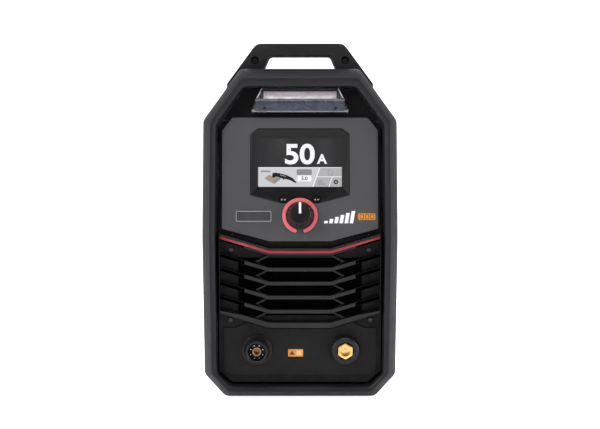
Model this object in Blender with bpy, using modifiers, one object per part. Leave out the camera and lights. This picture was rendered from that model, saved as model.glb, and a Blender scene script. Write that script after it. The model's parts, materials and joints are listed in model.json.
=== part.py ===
"""Plasma cutter unit: an inverter power source for air plasma cutting.

Metres, +Z up. The front faces -Y, the unit rests on Z = 0, and the origin is under its middle.
Heights below are laid out from a datum just above the floor, and the last step sets the unit down.
The front is two flat faces that meet at a fold; pieces on them are laid out along each face,
with X across, Y as the depth behind the face, and Z as the height above the fold.
"""
import math

import bmesh
import bpy
from mathutils import Matrix, Vector

# Overall size
FRONT_Y = -0.2532
REAR_Y = 0.2574
HANDLE_TOP = 0.4605
REAR_HANDLE_TOP = 0.4525
GAP = 0.0003
FIT = 0.0006
FLOOR_Z = -0.0034

# The folded front
FOLD_Z = 0.205
UPPER_LEAN = math.radians(7)
LOWER_LEAN = math.radians(4)

# Front frame: half widths and heights of its octagonal outlines
OUTER = dict(top=0.4258, top_half=0.0780, shoulder=0.3575, side=0.1264, fold=0.1266,
             foot=0.1241, heel=0.0275, bottom=-0.0018, bottom_half=0.0972)
RIDGE = dict(top=0.4118, top_half=0.0758, shoulder=0.3542, side=0.1168, fold=0.1170,
             foot=0.1142, heel=0.0292, bottom=0.0056, bottom_half=0.0920)
INNER = dict(top=0.4014, top_half=0.0738, shoulder=0.3511, side=0.1099, fold=0.1103,
             foot=0.1075, heel=0.0290, bottom=0.0112, bottom_half=0.0898)
WELL = dict(top=0.4006, top_half=0.0733, shoulder=0.3508, side=0.1068, fold=0.1072,
            foot=0.1060, heel=0.0294, bottom=0.0142, bottom_half=0.0893)
SHELL = dict(top=0.4180, top_half=0.0752, shoulder=0.3545, side=0.1243, fold=0.1246,
             foot=0.1232, heel=0.0300, bottom=0.0010, bottom_half=0.0965)
FRAME_CORNER = 0.011
OUTER_DEPTH = 0.020
INNER_DEPTH = 0.003
WELL_DEPTH = 0.0145
FRAME_LENGTH = 0.068
FRAME_WALL = 0.003
LIP_LENGTH = 0.020

# Layers behind the front faces
PANEL_DEPTH = 0.0120
PANEL_THICK = 0.0025
BEZEL_DEPTH = 0.0112
BEZEL_BACK = 0.0172
CARRIER_DEPTH = 0.0178
CARRIER_THICK = 0.0020
BOARD_DEPTH = 0.0290
BOARD_THICK = 0.0016

# Control panel
PANEL_HALF = 0.1010
PANEL_TOP = 0.3606
PANEL_TOP_HALF = 0.0880
PANEL_SHOULDER = 0.3440
PANEL_KINK_Z = 0.2003
PANEL_END_Z = 0.2165
KINK_HALF = 0.0400

# Display, in its bezel
SCREEN_HALF = 0.0545
SCREEN_TOP = 0.3360
SCREEN_BOTTOM = 0.2708
BEZEL_HALF = 0.0643
BEZEL_TOP = 0.3465
BEZEL_BOTTOM = 0.2494

# Selector knob
KNOB_Z = 0.2333
KNOB_RADIUS = 0.0171
KNOB_TOP_RADIUS = 0.0143
KNOB_HEIGHT = 0.0200
KNOB_FLUTES = 14
KNOB_LIFT = 0.0020
RING_INNER = 0.0185
RING_OUTER = 0.0230
RING_GAP = math.radians(17)
SHAFT_RADIUS = 0.0030

# Storage tray and its hinged cover
TRAY_DEPTH = 0.0195
LID_PIN_Z = 0.3700
LID_PIN_DEPTH = 0.0135
LID_PIN_RADIUS = 0.0015
LID_BOTTOM = 0.3662
LID_TOP = 0.3995
LID_BEND = 0.3845
CARD_Z = 0.3907
LID_BOTTOM_HALF = 0.0636
LID_TOP_HALF = 0.0504
LID_FRONT = 0.0040
LID_WALL = 0.0020
LUG_X = 0.0460

# Louvre grille
BLADE_Z = (0.1635, 0.1455, 0.1274, 0.1092)
BLADE_THICK = 0.0045
ARM_RISE = 0.0190
GRILLE_HALF = 0.1045
GRILLE_DEPTH = 0.0065
GRILLE_THICK = 0.0100
GRILLE_SIDE = 0.0016
GRILLE_TOP_Z = 0.1907
BAND_HEIGHT = 0.0086
STRIPE_DROP = 0.0027
STRIPE_HEIGHT = 0.0033
GRILLE_BOTTOM_Z = 0.0880

# Sockets
SOCKET_Z = 0.0591
TORCH_X = -0.0556
WORK_X = 0.0585
CONNECTOR_DEPTH = 0.0150
FLANGE_RADIUS = 0.0194

# Casing, base and rear
CASE_INSET = 0.0036
CASE_TOP = SHELL["top"] - CASE_INSET
CASE_SEAM_Z = 0.0415
SHEET = 0.0015
BASE_Z = SHELL["bottom"] + CASE_INSET
PAD_RADIUS = 0.012
PAD_X = 0.075
PAD_Y = 0.150
FAN_Z = 0.280
FAN_HALF = 0.0595
FAN_DEPTH = 0.025
REAR_PANEL_Y = REAR_Y - 0.0210
REAR_FIT_Z = 0.150


def clear_scene():
    for thing in list(bpy.data.objects):
        bpy.data.objects.remove(thing)


def make_collection(name):
    group = bpy.data.collections.new(name)
    bpy.context.scene.collection.children.link(group)
    return group


def surface(name, color, roughness, metallic=0.0, alpha=1.0):
    material = bpy.data.materials.new(name)
    material.use_nodes = True
    shader = material.node_tree.nodes["Principled BSDF"]
    shader.inputs["Base Color"].default_value = (*color, 1.0)
    shader.inputs["Roughness"].default_value = roughness
    shader.inputs["Metallic"].default_value = metallic
    shader.inputs["Alpha"].default_value = alpha
    return material


clear_scene()
PARTS = make_collection("plasma_cutter")
CUTTERS = make_collection("cutters")

BLACK = surface("black_plastic", (0.035, 0.035, 0.038), 0.55)
GREY = surface("panel_grey", (0.085, 0.085, 0.090), 0.60)
DARK = surface("dark_plastic", (0.012, 0.012, 0.012), 0.50)
CLEAR = surface("clear_cover", (0.75, 0.78, 0.82), 0.10, alpha=0.35)
PAPER = surface("chart_paper", (0.75, 0.70, 0.71), 0.70)
SCREEN = surface("screen", (0.05, 0.05, 0.06), 0.15)
RED_LIGHT = surface("red_light", (0.75, 0.18, 0.20), 0.30)
RED = surface("red_paint", (0.33, 0.02, 0.03), 0.40)
WHITE = surface("white_inlay", (0.90, 0.90, 0.90), 0.40)
RUBBER = surface("rubber", (0.02, 0.02, 0.02), 0.85)
STEEL = surface("zinc_steel", (0.55, 0.56, 0.58), 0.35, 1.0)
CASE_PAINT = surface("case_paint", (0.055, 0.055, 0.060), 0.45, 0.2)
BRASS = surface("brass", (0.80, 0.55, 0.20), 0.25, 1.0)
COPPER = surface("copper", (0.72, 0.36, 0.20), 0.30, 1.0)
ALUMINIUM = surface("aluminium", (0.70, 0.71, 0.72), 0.35, 1.0)
BOARD = surface("circuit_board", (0.02, 0.16, 0.07), 0.45)
FERRITE = surface("ferrite", (0.07, 0.07, 0.075), 0.60)
SLEEVE = surface("capacitor_sleeve", (0.03, 0.05, 0.20), 0.40)


# ---------------------------------------------------------------- building blocks

def add_object(name, mesh, material, parent=None):
    thing = bpy.data.objects.new(name, mesh)
    PARTS.objects.link(thing)
    thing.parent = parent
    if material:
        mesh.materials.clear()
        mesh.materials.append(material)
    return thing


def mesh_from(name, bm):
    bmesh.ops.recalc_face_normals(bm, faces=bm.faces[:])
    if bm.calc_volume(signed=True) < 0:
        bmesh.ops.reverse_faces(bm, faces=bm.faces[:])
    mesh = bpy.data.meshes.new(name)
    bm.to_mesh(mesh)
    bm.free()
    return mesh


def smooth(thing, angle=30):
    thing.data.shade_smooth()
    thing.data.set_sharp_from_angle(angle=math.radians(angle))


def outline_mesh(name, loops, thickness):
    """A flat solid: the loops lie in XZ, and it runs from y = 0 back to y = thickness."""
    curve = bpy.data.curves.new(name, "CURVE")
    curve.dimensions = "2D"
    curve.fill_mode = "BOTH"
    curve.extrude = thickness / 2
    for loop in loops:
        spline = curve.splines.new("POLY")
        spline.points.add(len(loop) - 1)
        for point, (x, z) in zip(spline.points, loop):
            point.co = (x, z, 0, 1)
        spline.use_cyclic_u = True
    guide = bpy.data.objects.new(name, curve)
    bpy.context.scene.collection.objects.link(guide)
    bpy.context.view_layer.update()
    evaluated = guide.evaluated_get(bpy.context.evaluated_depsgraph_get())
    mesh = bpy.data.meshes.new_from_object(evaluated)
    bpy.data.objects.remove(guide)
    mesh.transform(Matrix.Translation((0, thickness / 2, 0)) @ Matrix.Rotation(math.pi / 2, 4, "X"))
    bm = bmesh.new()
    bm.from_mesh(mesh)
    bpy.data.meshes.remove(mesh)
    bmesh.ops.remove_doubles(bm, verts=bm.verts, dist=1e-6)
    return mesh_from(name, bm)


def plate(name, loops, thickness, material, parent=None, depth=0.0):
    """A flat piece with its front at y = depth; the first loop is its outline, others are holes."""
    thing = add_object(name, outline_mesh(name, loops, thickness), material, parent)
    thing.location.y = depth
    return thing


def slab(name, loops, thickness, material, z, parent=None):
    """A flat piece that lies level, from z up to z + thickness; the loops are in XY."""
    mesh = outline_mesh(name, loops, thickness)
    mesh.transform(Matrix.Rotation(-math.pi / 2, 4, "X"))
    thing = add_object(name, mesh, material, parent)
    thing.location.z = z + thickness
    return thing


def block(name, size, centre, material, parent=None):
    bm = bmesh.new()
    bmesh.ops.create_cube(bm, size=1.0)
    bmesh.ops.scale(bm, vec=size, verts=bm.verts)
    thing = add_object(name, mesh_from(name, bm), material, parent)
    thing.location = centre
    return thing


FACING = {"front": (math.pi / 2, 0, 0), "rear": (-math.pi / 2, 0, 0), "up": (0, 0, 0),
          "right": (0, math.pi / 2, 0)}


def rod(name, radius, length, centre, material, facing="front", parent=None, steps=24):
    bm = bmesh.new()
    bmesh.ops.create_cone(bm, cap_ends=True, segments=steps, radius1=radius, radius2=radius,
                          depth=length)
    thing = add_object(name, mesh_from(name, bm), material, parent)
    thing.location = centre
    thing.rotation_euler = FACING[facing]
    smooth(thing, 40)
    return thing


def turned(name, profile, place, material, facing="front", parent=None, steps=28, closed=False):
    """A turned piece from (radius, height) points, its height along its facing; closed is a tube."""
    mesh = bpy.data.meshes.new(name)
    points = [(radius, 0, height) for radius, height in profile]
    edges = [(i, i + 1) for i in range(len(points) - 1)]
    if closed:
        edges.append((len(points) - 1, 0))
    mesh.from_pydata(points, edges, [])
    thing = add_object(name, mesh, material, parent)
    thing.location = place
    thing.rotation_euler = FACING[facing]
    screw = thing.modifiers.new("turn", "SCREW")
    screw.angle = 2 * math.pi
    screw.steps = steps
    screw.render_steps = steps
    screw.use_merge_vertices = True
    screw.merge_threshold = 0.00001
    screw.use_smooth_shade = True
    return thing


def loft(name, loops, material, parent=None, ring=True):
    """Skin between loops with equal point counts: a closed ring, or a solid capped at both ends."""
    bm = bmesh.new()
    rows = [[bm.verts.new(point) for point in loop] for loop in loops]
    count = len(loops[0])
    spans = len(rows) if ring else len(rows) - 1
    for i in range(spans):
        here = rows[i]
        there = rows[(i + 1) % len(rows)]
        for j in range(count):
            k = (j + 1) % count
            bm.faces.new((here[j], here[k], there[k], there[j]))
    if not ring:
        bm.faces.new(rows[0])
        bm.faces.new(rows[-1])
    return add_object(name, mesh_from(name, bm), material, parent)


def combine(thing, other, operation):
    """Booleans one piece with another, which becomes a hidden guide."""
    change = thing.modifiers.new(operation.lower(), "BOOLEAN")
    change.operation = operation
    change.object = other
    change.solver = "EXACT"
    PARTS.objects.unlink(other)
    CUTTERS.objects.link(other)
    other.hide_render = True
    other.display_type = "WIRE"


def cut(thing, cutter):
    combine(thing, cutter, "DIFFERENCE")


def join(thing, other):
    combine(thing, other, "UNION")


def bevel(thing, width, segments=2, angle=30):
    rounding = thing.modifiers.new("bevel", "BEVEL")
    rounding.width = width
    rounding.segments = segments
    rounding.limit_method = "ANGLE"
    rounding.angle_limit = math.radians(angle)


def rounded(corners, radius, steps=3):
    """The outline with its corners as arcs; a corner (x, z, r) has its own radius."""
    outline = []
    for i, corner in enumerate(corners):
        here = Vector(corner[:2])
        before = (Vector(corners[i - 1][:2]) - here).normalized()
        after = (Vector(corners[(i + 1) % len(corners)][:2]) - here).normalized()
        r = corner[2] if len(corner) > 2 else radius
        if r == 0:
            outline.append(tuple(here))
            continue
        half = before.angle(after) / 2
        centre = here + (before + after).normalized() * (r / math.sin(half))
        start = here + before * (r / math.tan(half)) - centre
        end = here + after * (r / math.tan(half)) - centre
        first = math.atan2(start.y, start.x)
        sweep = (math.atan2(end.y, end.x) - first + math.pi) % (2 * math.pi) - math.pi
        for step in range(steps + 1):
            turn = first + sweep * step / steps
            outline.append((centre.x + r * math.cos(turn), centre.y + r * math.sin(turn)))
    return outline


def mirrored(right):
    """A symmetric outline from its right half, listed from the top down."""
    left = [(-corner[0], *corner[1:]) for corner in reversed(right)]
    return list(right) + left


def circle(x, z, radius, steps=32):
    turns = [2 * math.pi * i / steps for i in range(steps)]
    return [(x + radius * math.cos(turn), z + radius * math.sin(turn)) for turn in turns]


def rectangle(left, bottom, right, top, radius=0.0, steps=3):
    return rounded([(left, bottom), (right, bottom), (right, top), (left, top)], radius, steps)


# ---------------------------------------------------------------- front and rear frames

def octagon(size, grow=0.0, corner=FRAME_CORNER):
    """The frame's outline: an octagon whose sides are kinked at the fold."""
    return rounded(mirrored([(size["top_half"] + 0.45 * grow, size["top"] + grow),
                             (size["side"] + grow, size["shoulder"] + 0.45 * grow),
                             (size["fold"] + grow, FOLD_Z, 0),
                             (size["foot"] + grow, size["heel"] - 0.45 * grow),
                             (size["bottom_half"] + 0.45 * grow, size["bottom"] - grow)]), corner)


def face_y(z):
    if z > FOLD_Z:
        return FRONT_Y + (z - FOLD_Z) * math.tan(UPPER_LEAN)
    return FRONT_Y + (FOLD_Z - z) * math.tan(LOWER_LEAN)


def on_face(outline, depth):
    return [(x, face_y(z) + depth, z) for x, z in outline]


def at_y(outline, y):
    return [(x, y, z) for x, z in outline]


def make_front_frame():
    back = FRONT_Y + FRAME_LENGTH
    floor = back - LIP_LENGTH
    lip = octagon(SHELL, -FRAME_WALL)
    well = octagon(WELL)
    frame = loft("front_frame", [at_y(octagon(SHELL), back), on_face(octagon(OUTER), OUTER_DEPTH),
                                 on_face(octagon(RIDGE), 0), on_face(octagon(INNER), INNER_DEPTH),
                                 on_face(well, WELL_DEPTH), at_y(well, floor),
                                 at_y(lip, floor), at_y(lip, back)], BLACK)
    bevel(frame, 0.0011, 2, 24)
    smooth(frame)


def make_rear_frame():
    front = REAR_Y - FRAME_LENGTH
    floor = front + LIP_LENGTH
    lip = octagon(SHELL, -FRAME_WALL)
    well = octagon(SHELL, -0.019)
    sections = ((octagon(SHELL), front), (octagon(SHELL), REAR_Y - 0.016),
                (octagon(SHELL, -0.008), REAR_Y), (octagon(SHELL, -0.015), REAR_Y - 0.003),
                (well, REAR_Y - 0.014), (well, floor), (lip, floor), (lip, front))
    frame = loft("rear_frame", [at_y(outline, y) for outline, y in sections], BLACK)
    bevel(frame, 0.0012, 1, 24)
    smooth(frame)


# ---------------------------------------------------------------- carrying handles

HANDLE_LENGTH = 0.044
HANDLE_SEAT = CASE_TOP + FIT
HANDLE_SHOULDER = 0.0966
HANDLE_SHOULDER_Z = 0.4075
HANDLE_SLOPE = 1.36
CHAMFER_SLOPE = (SHELL["top"] - SHELL["shoulder"]) / (SHELL["side"] - SHELL["top_half"])
GRIP_TOP = 0.4454
GRIP_BOTTOM = 0.4200
GRIP_TOP_HALF = 0.0400
GRIP_BOTTOM_HALF = 0.0510
GRIP_CORNER = 0.005
SCREW_X = 0.0596
SCREW_Z = 0.4387
SCREW_WELL_RADIUS = 0.0052
SCREW_WELL_DEPTH = 0.013
SCREW_SINK = 0.0086


def handle_outline(top):
    """A hoop's outer line; it straddles the top of the casing."""
    top_half = HANDLE_SHOULDER - (top - HANDLE_SHOULDER_Z) / HANDLE_SLOPE
    seat_half = SHELL["top_half"] - 0.45 * CASE_INSET + FIT
    foot_z = HANDLE_SEAT - (HANDLE_SHOULDER - seat_half) * CHAMFER_SLOPE
    return rounded(mirrored([(top_half, top, 0.012), (HANDLE_SHOULDER, HANDLE_SHOULDER_Z, 0.002),
                             (HANDLE_SHOULDER, foot_z, 0.002), (seat_half, HANDLE_SEAT, 0)]), 0.001)


def make_handle(name, top, y, facing):
    """A carrying handle with a grip opening, and a sunk screw in each leg on the side it faces."""
    drop = HANDLE_TOP - top
    front = facing == "front"
    mouth = y if front else y + HANDLE_LENGTH
    inward = 1 if front else -1
    grip = rounded(mirrored([(GRIP_TOP_HALF, GRIP_TOP - drop), (GRIP_BOTTOM_HALF, GRIP_BOTTOM)]),
                   GRIP_CORNER)
    handle = plate(name, [handle_outline(top), grip], HANDLE_LENGTH, BLACK, depth=y)
    bevel(handle, 0.0020, 2, 35)
    head = [(0.0, -0.0015), (0.0014, -0.0015), (0.0014, 0.0), (0.0036, 0.0), (0.0042, -0.0008),
            (0.0042, -0.0040), (0.0, -0.0040)]
    for side, label in ((-1, "left"), (1, "right")):
        place = (side * SCREW_X, mouth, SCREW_Z - drop)
        cut(handle, rod(name + "_well_" + label, SCREW_WELL_RADIUS, 2 * SCREW_WELL_DEPTH, place, None, facing,
                        steps=20))
        seat = (place[0], mouth + inward * SCREW_SINK, place[2])
        turned(name + "_screw_" + label, head, seat, STEEL, facing, steps=12)


# ---------------------------------------------------------------- the folded front's two faces

def make_face(name, lean):
    face = bpy.data.objects.new(name, None)
    PARTS.objects.link(face)
    face.location = (0, FRONT_Y, FOLD_Z)
    face.rotation_euler.x = lean
    return face


UPPER = make_face("upper_face", -UPPER_LEAN)
LOWER = make_face("lower_face", LOWER_LEAN)


def up(z):
    """Height along the upper face of a point that is at world height z on the panel's front."""
    return (z - FOLD_Z + PANEL_DEPTH * math.sin(UPPER_LEAN)) / math.cos(UPPER_LEAN)


def down(z):
    """Height along the lower face of a point that is at world height z on the grille's front."""
    return (z - FOLD_Z - GRILLE_DEPTH * math.sin(LOWER_LEAN)) / math.cos(LOWER_LEAN)


def bezel_outline(grow=0.0, radius=0.0020):
    half = BEZEL_HALF + grow
    return rounded(mirrored([(half - 0.0100, up(BEZEL_TOP) + grow), (half, up(0.3392)),
                             (half, up(0.2596) - 0.5 * grow),
                             (0.0240, up(BEZEL_BOTTOM) - grow)]), radius)


def light_ring_outline(inner, outer, gap):
    """An open ring round the knob, with its gap at the bottom."""
    steps = 30
    first = -math.pi / 2 + gap
    sweep = 2 * math.pi - 2 * gap
    turns = [first + sweep * i / steps for i in range(steps + 1)]
    middle = (inner + outer) / 2
    cap = (outer - inner) / 2
    z = up(KNOB_Z)
    outline = [(outer * math.cos(turn), z + outer * math.sin(turn)) for turn in turns]
    for end, spin in ((turns[-1], 1), (turns[0], -1)):
        tip = (middle * math.cos(end), z + middle * math.sin(end))
        start = end if spin > 0 else end + math.pi
        for i in (1, 2, 3):
            turn = start + math.pi * i / 4
            outline.append((tip[0] + cap * math.cos(turn), tip[1] + cap * math.sin(turn)))
        if spin > 0:
            outline += [(inner * math.cos(turn), z + inner * math.sin(turn)) for turn in reversed(turns)]
    return outline


def make_control_panel():
    outline = rounded(mirrored([(PANEL_TOP_HALF, up(PANEL_TOP)), (PANEL_HALF, up(PANEL_SHOULDER)),
                                (PANEL_HALF, up(PANEL_END_Z), 0.001),
                                (KINK_HALF, up(PANEL_KINK_Z), 0.002)]), 0.003)
    panel = plate("control_panel", [outline], PANEL_THICK, GREY, UPPER, PANEL_DEPTH)
    deep = PANEL_THICK * 3
    cut(panel, plate("bezel_window", [bezel_outline(0.0004)], deep, None, UPPER, PANEL_DEPTH - PANEL_THICK))
    slot = light_ring_outline(RING_INNER - 0.0003, RING_OUTER + 0.0003, RING_GAP)
    cut(panel, plate("ring_slot", [slot], deep, None, UPPER, PANEL_DEPTH - PANEL_THICK))
    hole = circle(0, up(KNOB_Z), SHAFT_RADIUS + 0.0010, 20)
    cut(panel, plate("panel_shaft_hole", [hole], deep, None, UPPER, PANEL_DEPTH - PANEL_THICK))


def make_bezel():
    """A funnel round the screen, scooped out above the knob."""
    opening = rounded(mirrored([(SCREEN_HALF - 0.0016, up(SCREEN_TOP)),
                                (SCREEN_HALF, up(SCREEN_TOP) - 0.0014),
                                (SCREEN_HALF, up(SCREEN_BOTTOM) + 0.0014),
                                (SCREEN_HALF - 0.0016, up(SCREEN_BOTTOM))]), 0.0004)
    outer = bezel_outline()
    brow = bezel_outline(-0.0014)
    rim = [(brow, BEZEL_DEPTH), (opening, BEZEL_BACK - 0.0022), (opening, BEZEL_BACK),
           (outer, BEZEL_BACK), (outer, BEZEL_DEPTH + 0.0006)]
    bezel = loft("display_bezel", [at_y(loop, depth) for loop, depth in rim], DARK, UPPER)
    z = up(KNOB_Z)
    scoops = ((0.0, z, 0.0316, 48, 0.0138), (-0.0218, z + 0.0215, 0.0060, 20, 0.0141),
              (0.0218, z + 0.0215, 0.0060, 20, 0.0144))
    for i, (x, height, radius, steps, floor) in enumerate(scoops):
        scoop = plate(f"scoop_{i}", [circle(x, height, radius, steps)], 0.010, None, UPPER, floor - 0.010)
        cut(bezel, scoop)
    notch = plate("ring_notch", [circle(0, z, RING_OUTER + 0.0005, 48)], 0.02, None, UPPER, 0.0)
    cut(bezel, notch)


def make_display():
    glass = rectangle(-0.0585, up(0.2665), 0.0585, up(0.3405), 0.001)
    plate("display_module", [glass], 0.0070, SCREEN, UPPER, BEZEL_BACK + 0.0004)


def make_light_ring():
    outline = light_ring_outline(RING_INNER, RING_OUTER, RING_GAP + 0.01)
    ring = plate("light_ring", [outline], 0.0052, RED_LIGHT, UPPER, 0.0104)
    bevel(ring, 0.0011, 2, 50)
    smooth(ring)


def fluted_loop(radius, flute, y):
    """A knob section: a circle with shallow finger scallops."""
    count = KNOB_FLUTES * 4
    loop = []
    for i in range(count):
        turn = 2 * math.pi * i / count
        r = radius - flute * (0.5 + 0.5 * math.cos(turn * KNOB_FLUTES)) ** 2
        loop.append((r * math.cos(turn), y, r * math.sin(turn)))
    return loop


def make_knob():
    pivot = bpy.data.objects.new("knob_axis", None)
    PARTS.objects.link(pivot)
    pivot.parent = UPPER
    pivot.location = (0, PANEL_DEPTH - KNOB_LIFT, up(KNOB_Z))
    sections = ((KNOB_RADIUS - 0.0006, 0.0, 0.0), (KNOB_RADIUS, 0.0, -0.0008),
                (KNOB_RADIUS, 0.0, -0.0030), (KNOB_RADIUS - 0.0008, 0.0008, -0.0042),
                (KNOB_TOP_RADIUS + 0.0008, 0.0011, -KNOB_HEIGHT + 0.0024),
                (KNOB_TOP_RADIUS, 0.0009, -KNOB_HEIGHT + 0.0008),
                (KNOB_TOP_RADIUS - 0.0013, 0.0004, -KNOB_HEIGHT))
    knob = loft("control_knob", [fluted_loop(*section) for section in sections], DARK, pivot, ring=False)
    bore = rod("knob_bore", SHAFT_RADIUS + 0.0004, 0.024, (0, 0, 0), None, "front", pivot)
    cut(knob, bore)
    top = KNOB_TOP_RADIUS - 0.0013
    groove = block("pointer_groove", (0.0034, 0.0030, 0.0180), (0, -KNOB_HEIGHT, 0.0090), None, pivot)
    cut(knob, groove)
    block("knob_pointer", (0.0028, 0.0012, top - 0.0004),
          (0, -KNOB_HEIGHT + 0.0005, top / 2 + 0.0004), WHITE, pivot)
    smooth(knob, 35)
    rod("encoder_shaft", SHAFT_RADIUS, 0.0255, (0, 0.0015, 0), STEEL, "front", pivot, 20)
    encoder = block("encoder_body", (0.0140, 0.0075, 0.0140),
                    (0, CARRIER_DEPTH + CARRIER_THICK + 0.0042, up(KNOB_Z)), DARK, UPPER)
    cut(encoder, rod("encoder_bore", SHAFT_RADIUS + 0.0005, 0.0130,
                     (0, CARRIER_DEPTH + CARRIER_THICK, up(KNOB_Z)), None, "front", UPPER, 20))


def make_upper_carrier():
    """The inner plate that carries the panel, the display and the encoder."""
    half = WELL["side"] - FIT
    outline = rounded(mirrored([(half - 0.0045, up(0.3560)), (half - 0.0012, up(0.3510)),
                                (half, up(0.2140)), (KINK_HALF, up(0.2010))]), 0.001)
    window = rectangle(-0.0600, up(0.2650), 0.0600, up(0.3420), 0.001)
    hole = circle(0, up(KNOB_Z), SHAFT_RADIUS + 0.0010, 20)
    plate("upper_carrier", [outline, window, hole], CARRIER_THICK, DARK, UPPER, CARRIER_DEPTH)
    board = [rectangle(-0.0850, up(0.2250), 0.0850, up(0.3500), 0.002)]
    plate("control_board", board, BOARD_THICK, BOARD, UPPER, BOARD_DEPTH)


# ---------------------------------------------------------------- storage tray and cover

def lid_half(z):
    share = (z - LID_BOTTOM) / (LID_TOP - LID_BOTTOM)
    return LID_BOTTOM_HALF + (LID_TOP_HALF - LID_BOTTOM_HALF) * share


def lid_solid(name, profile, inset, material, parent):
    """A solid from a side profile (depth, z) whose ends slant in towards the top."""
    sides = []
    for side in (-1, 1):
        sides.append([(side * (lid_half(z) - inset), depth, up(z)) for depth, z in profile])
    return loft(name, sides, material, parent, ring=False)


def make_lid():
    back = TRAY_DEPTH - 0.0020
    profile = [(back, LID_BOTTOM), (LID_FRONT + 0.0016, LID_BOTTOM), (LID_FRONT, LID_BOTTOM + 0.0016),
               (LID_FRONT, LID_BEND), (back - 0.0020, LID_TOP), (back, LID_TOP)]
    lid = lid_solid("storage_lid", profile, 0.0, CLEAR, UPPER)
    lip = block("lid_lip", (0.0836, 0.0040, 0.0026), (0, LID_FRONT, up(LID_BEND + 0.0005)), None, UPPER)
    join(lid, lip)
    inner_front = LID_FRONT + LID_WALL
    inner_top = LID_TOP - LID_WALL
    hollow = [(back + 0.005, LID_BOTTOM - 0.005), (inner_front, LID_BOTTOM - 0.005),
              (inner_front, LID_BEND - 0.0008), (back - 0.0012, inner_top), (back + 0.005, inner_top)]
    cut(lid, lid_solid("lid_hollow", hollow, LID_WALL, None, UPPER))
    cut(lid, rod("lid_pin_hole", LID_PIN_RADIUS + 0.0004, 0.16,
                 (0, LID_PIN_DEPTH, up(LID_PIN_Z)), None, "right", UPPER, 20))
    rod("lid_hinge_pin", LID_PIN_RADIUS, 2 * lid_half(LID_PIN_Z) + 0.0012,
        (0, LID_PIN_DEPTH, up(LID_PIN_Z)), STEEL, "right", UPPER, 20)
    slope = math.atan2(back - 0.0020 - LID_FRONT, up(LID_TOP) - up(LID_BEND))
    card = block("chart_card", (0.0950, 0.0006, 0.0136), (0, LID_FRONT + 0.0095, up(CARD_Z)), PAPER, UPPER)
    card.rotation_euler.x = -slope


def make_tray():
    """A face plate in the top of the well, with the storage pocket behind it."""
    outline = rounded(mirrored([(0.0718, up(0.3992)), (0.1005, up(0.3598), 0)]), 0.002)
    face = plate("storage_tray", [outline], 0.0020, DARK, UPPER, TRAY_DEPTH)
    pocket_top = 0.3950
    pocket_bottom = 0.3725
    deep = 0.0550
    shell = plate("tray_box", [rectangle(-0.0520, up(pocket_bottom), 0.0520, up(pocket_top))],
                  deep, None, UPPER, TRAY_DEPTH + 0.0005)
    join(face, shell)
    for side in (-1, 1):
        x = side * LUG_X
        lug = rod(f"lug_{side}", 0.0034, 0.0050, (x, LID_PIN_DEPTH, up(LID_PIN_Z)), None, "right", UPPER, 20)
        join(face, lug)
        arm = block(f"lug_arm_{side}", (0.0048, TRAY_DEPTH - LID_PIN_DEPTH + 0.001, 0.0064),
                    (x, (TRAY_DEPTH + LID_PIN_DEPTH + 0.001) / 2, up(LID_PIN_Z)), None, UPPER)
        join(face, arm)
    hollow = rectangle(-0.0500, up(pocket_bottom) + 0.0018, 0.0500, up(pocket_top) - 0.0018)
    cut(face, plate("tray_pocket", [hollow], deep, None, UPPER, TRAY_DEPTH - 0.0021))
    cut(face, rod("tray_pin_hole", LID_PIN_RADIUS + GAP, 0.16,
                  (0, LID_PIN_DEPTH, up(LID_PIN_Z)), None, "right", UPPER, 20))


# ---------------------------------------------------------------- louvre grille

def vee(z, half=GRILLE_HALF, grow=0.0):
    """Four points of a shallow V: level in the middle, with arms that rise to both sides."""
    rise = ARM_RISE * (half - KINK_HALF) / (GRILLE_HALF - KINK_HALF)
    return [(-half, down(z) + rise + grow), (-KINK_HALF, down(z) + grow),
            (KINK_HALF, down(z) + grow), (half, down(z) + rise + grow)]


def make_grille():
    """Louvre blades between a top band and a bottom bar, with ribs that zigzag behind them."""
    window_half = GRILLE_HALF - GRILLE_SIDE
    lines = [GRILLE_TOP_Z - BAND_HEIGHT, *BLADE_Z, 0.0925]
    foot = down(GRILLE_BOTTOM_Z)
    right_foot = [(GRILLE_HALF, foot + 0.0200), (0.0840, foot + 0.0140), (KINK_HALF, foot)]
    outline = vee(GRILLE_TOP_Z) + mirrored(right_foot)
    windows = []
    for i in range(len(lines) - 1):
        upper_edge = lines[i] if i == 0 else lines[i] - BLADE_THICK / 2
        lower_edge = lines[i + 1] + BLADE_THICK / 2
        windows.append(vee(upper_edge, window_half) + vee(lower_edge, window_half)[::-1])
    grille = plate("louvre_grille", [outline] + windows, GRILLE_THICK, BLACK, LOWER, GRILLE_DEPTH)
    for i in range(len(lines) - 1):
        top = down(lines[i]) - 0.0015
        bottom = down(lines[i + 1]) + 0.0015
        middle = (top + bottom) / 2
        for side in (-1, 1):
            rib = [(side * 0.0420, top + 0.0012), (side * 0.0575, middle + 0.0009), (side * 0.0420, bottom),
                   (side * 0.0400, bottom), (side * 0.0550, middle), (side * 0.0400, top)]
            join(grille, plate(f"rib_{i}_{side}", [rib], 0.0058, None, LOWER, GRILLE_DEPTH + 0.0040))
    for side in (-1, 1):
        relief = block(f"grille_relief_{side}", (2 * GRILLE_SIDE, GRILLE_THICK, 0.24),
                       (side * (GRILLE_HALF + 0.0001), GRILLE_DEPTH + 0.0010, -0.0600), None, LOWER)
        cut(grille, relief)
    top = GRILLE_TOP_Z - STRIPE_DROP
    stripe = vee(top, window_half) + vee(top - STRIPE_HEIGHT, window_half)[::-1]
    plate("accent_stripe", [stripe], 0.0008, RED, LOWER, GRILLE_DEPTH - 0.0011)


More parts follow.
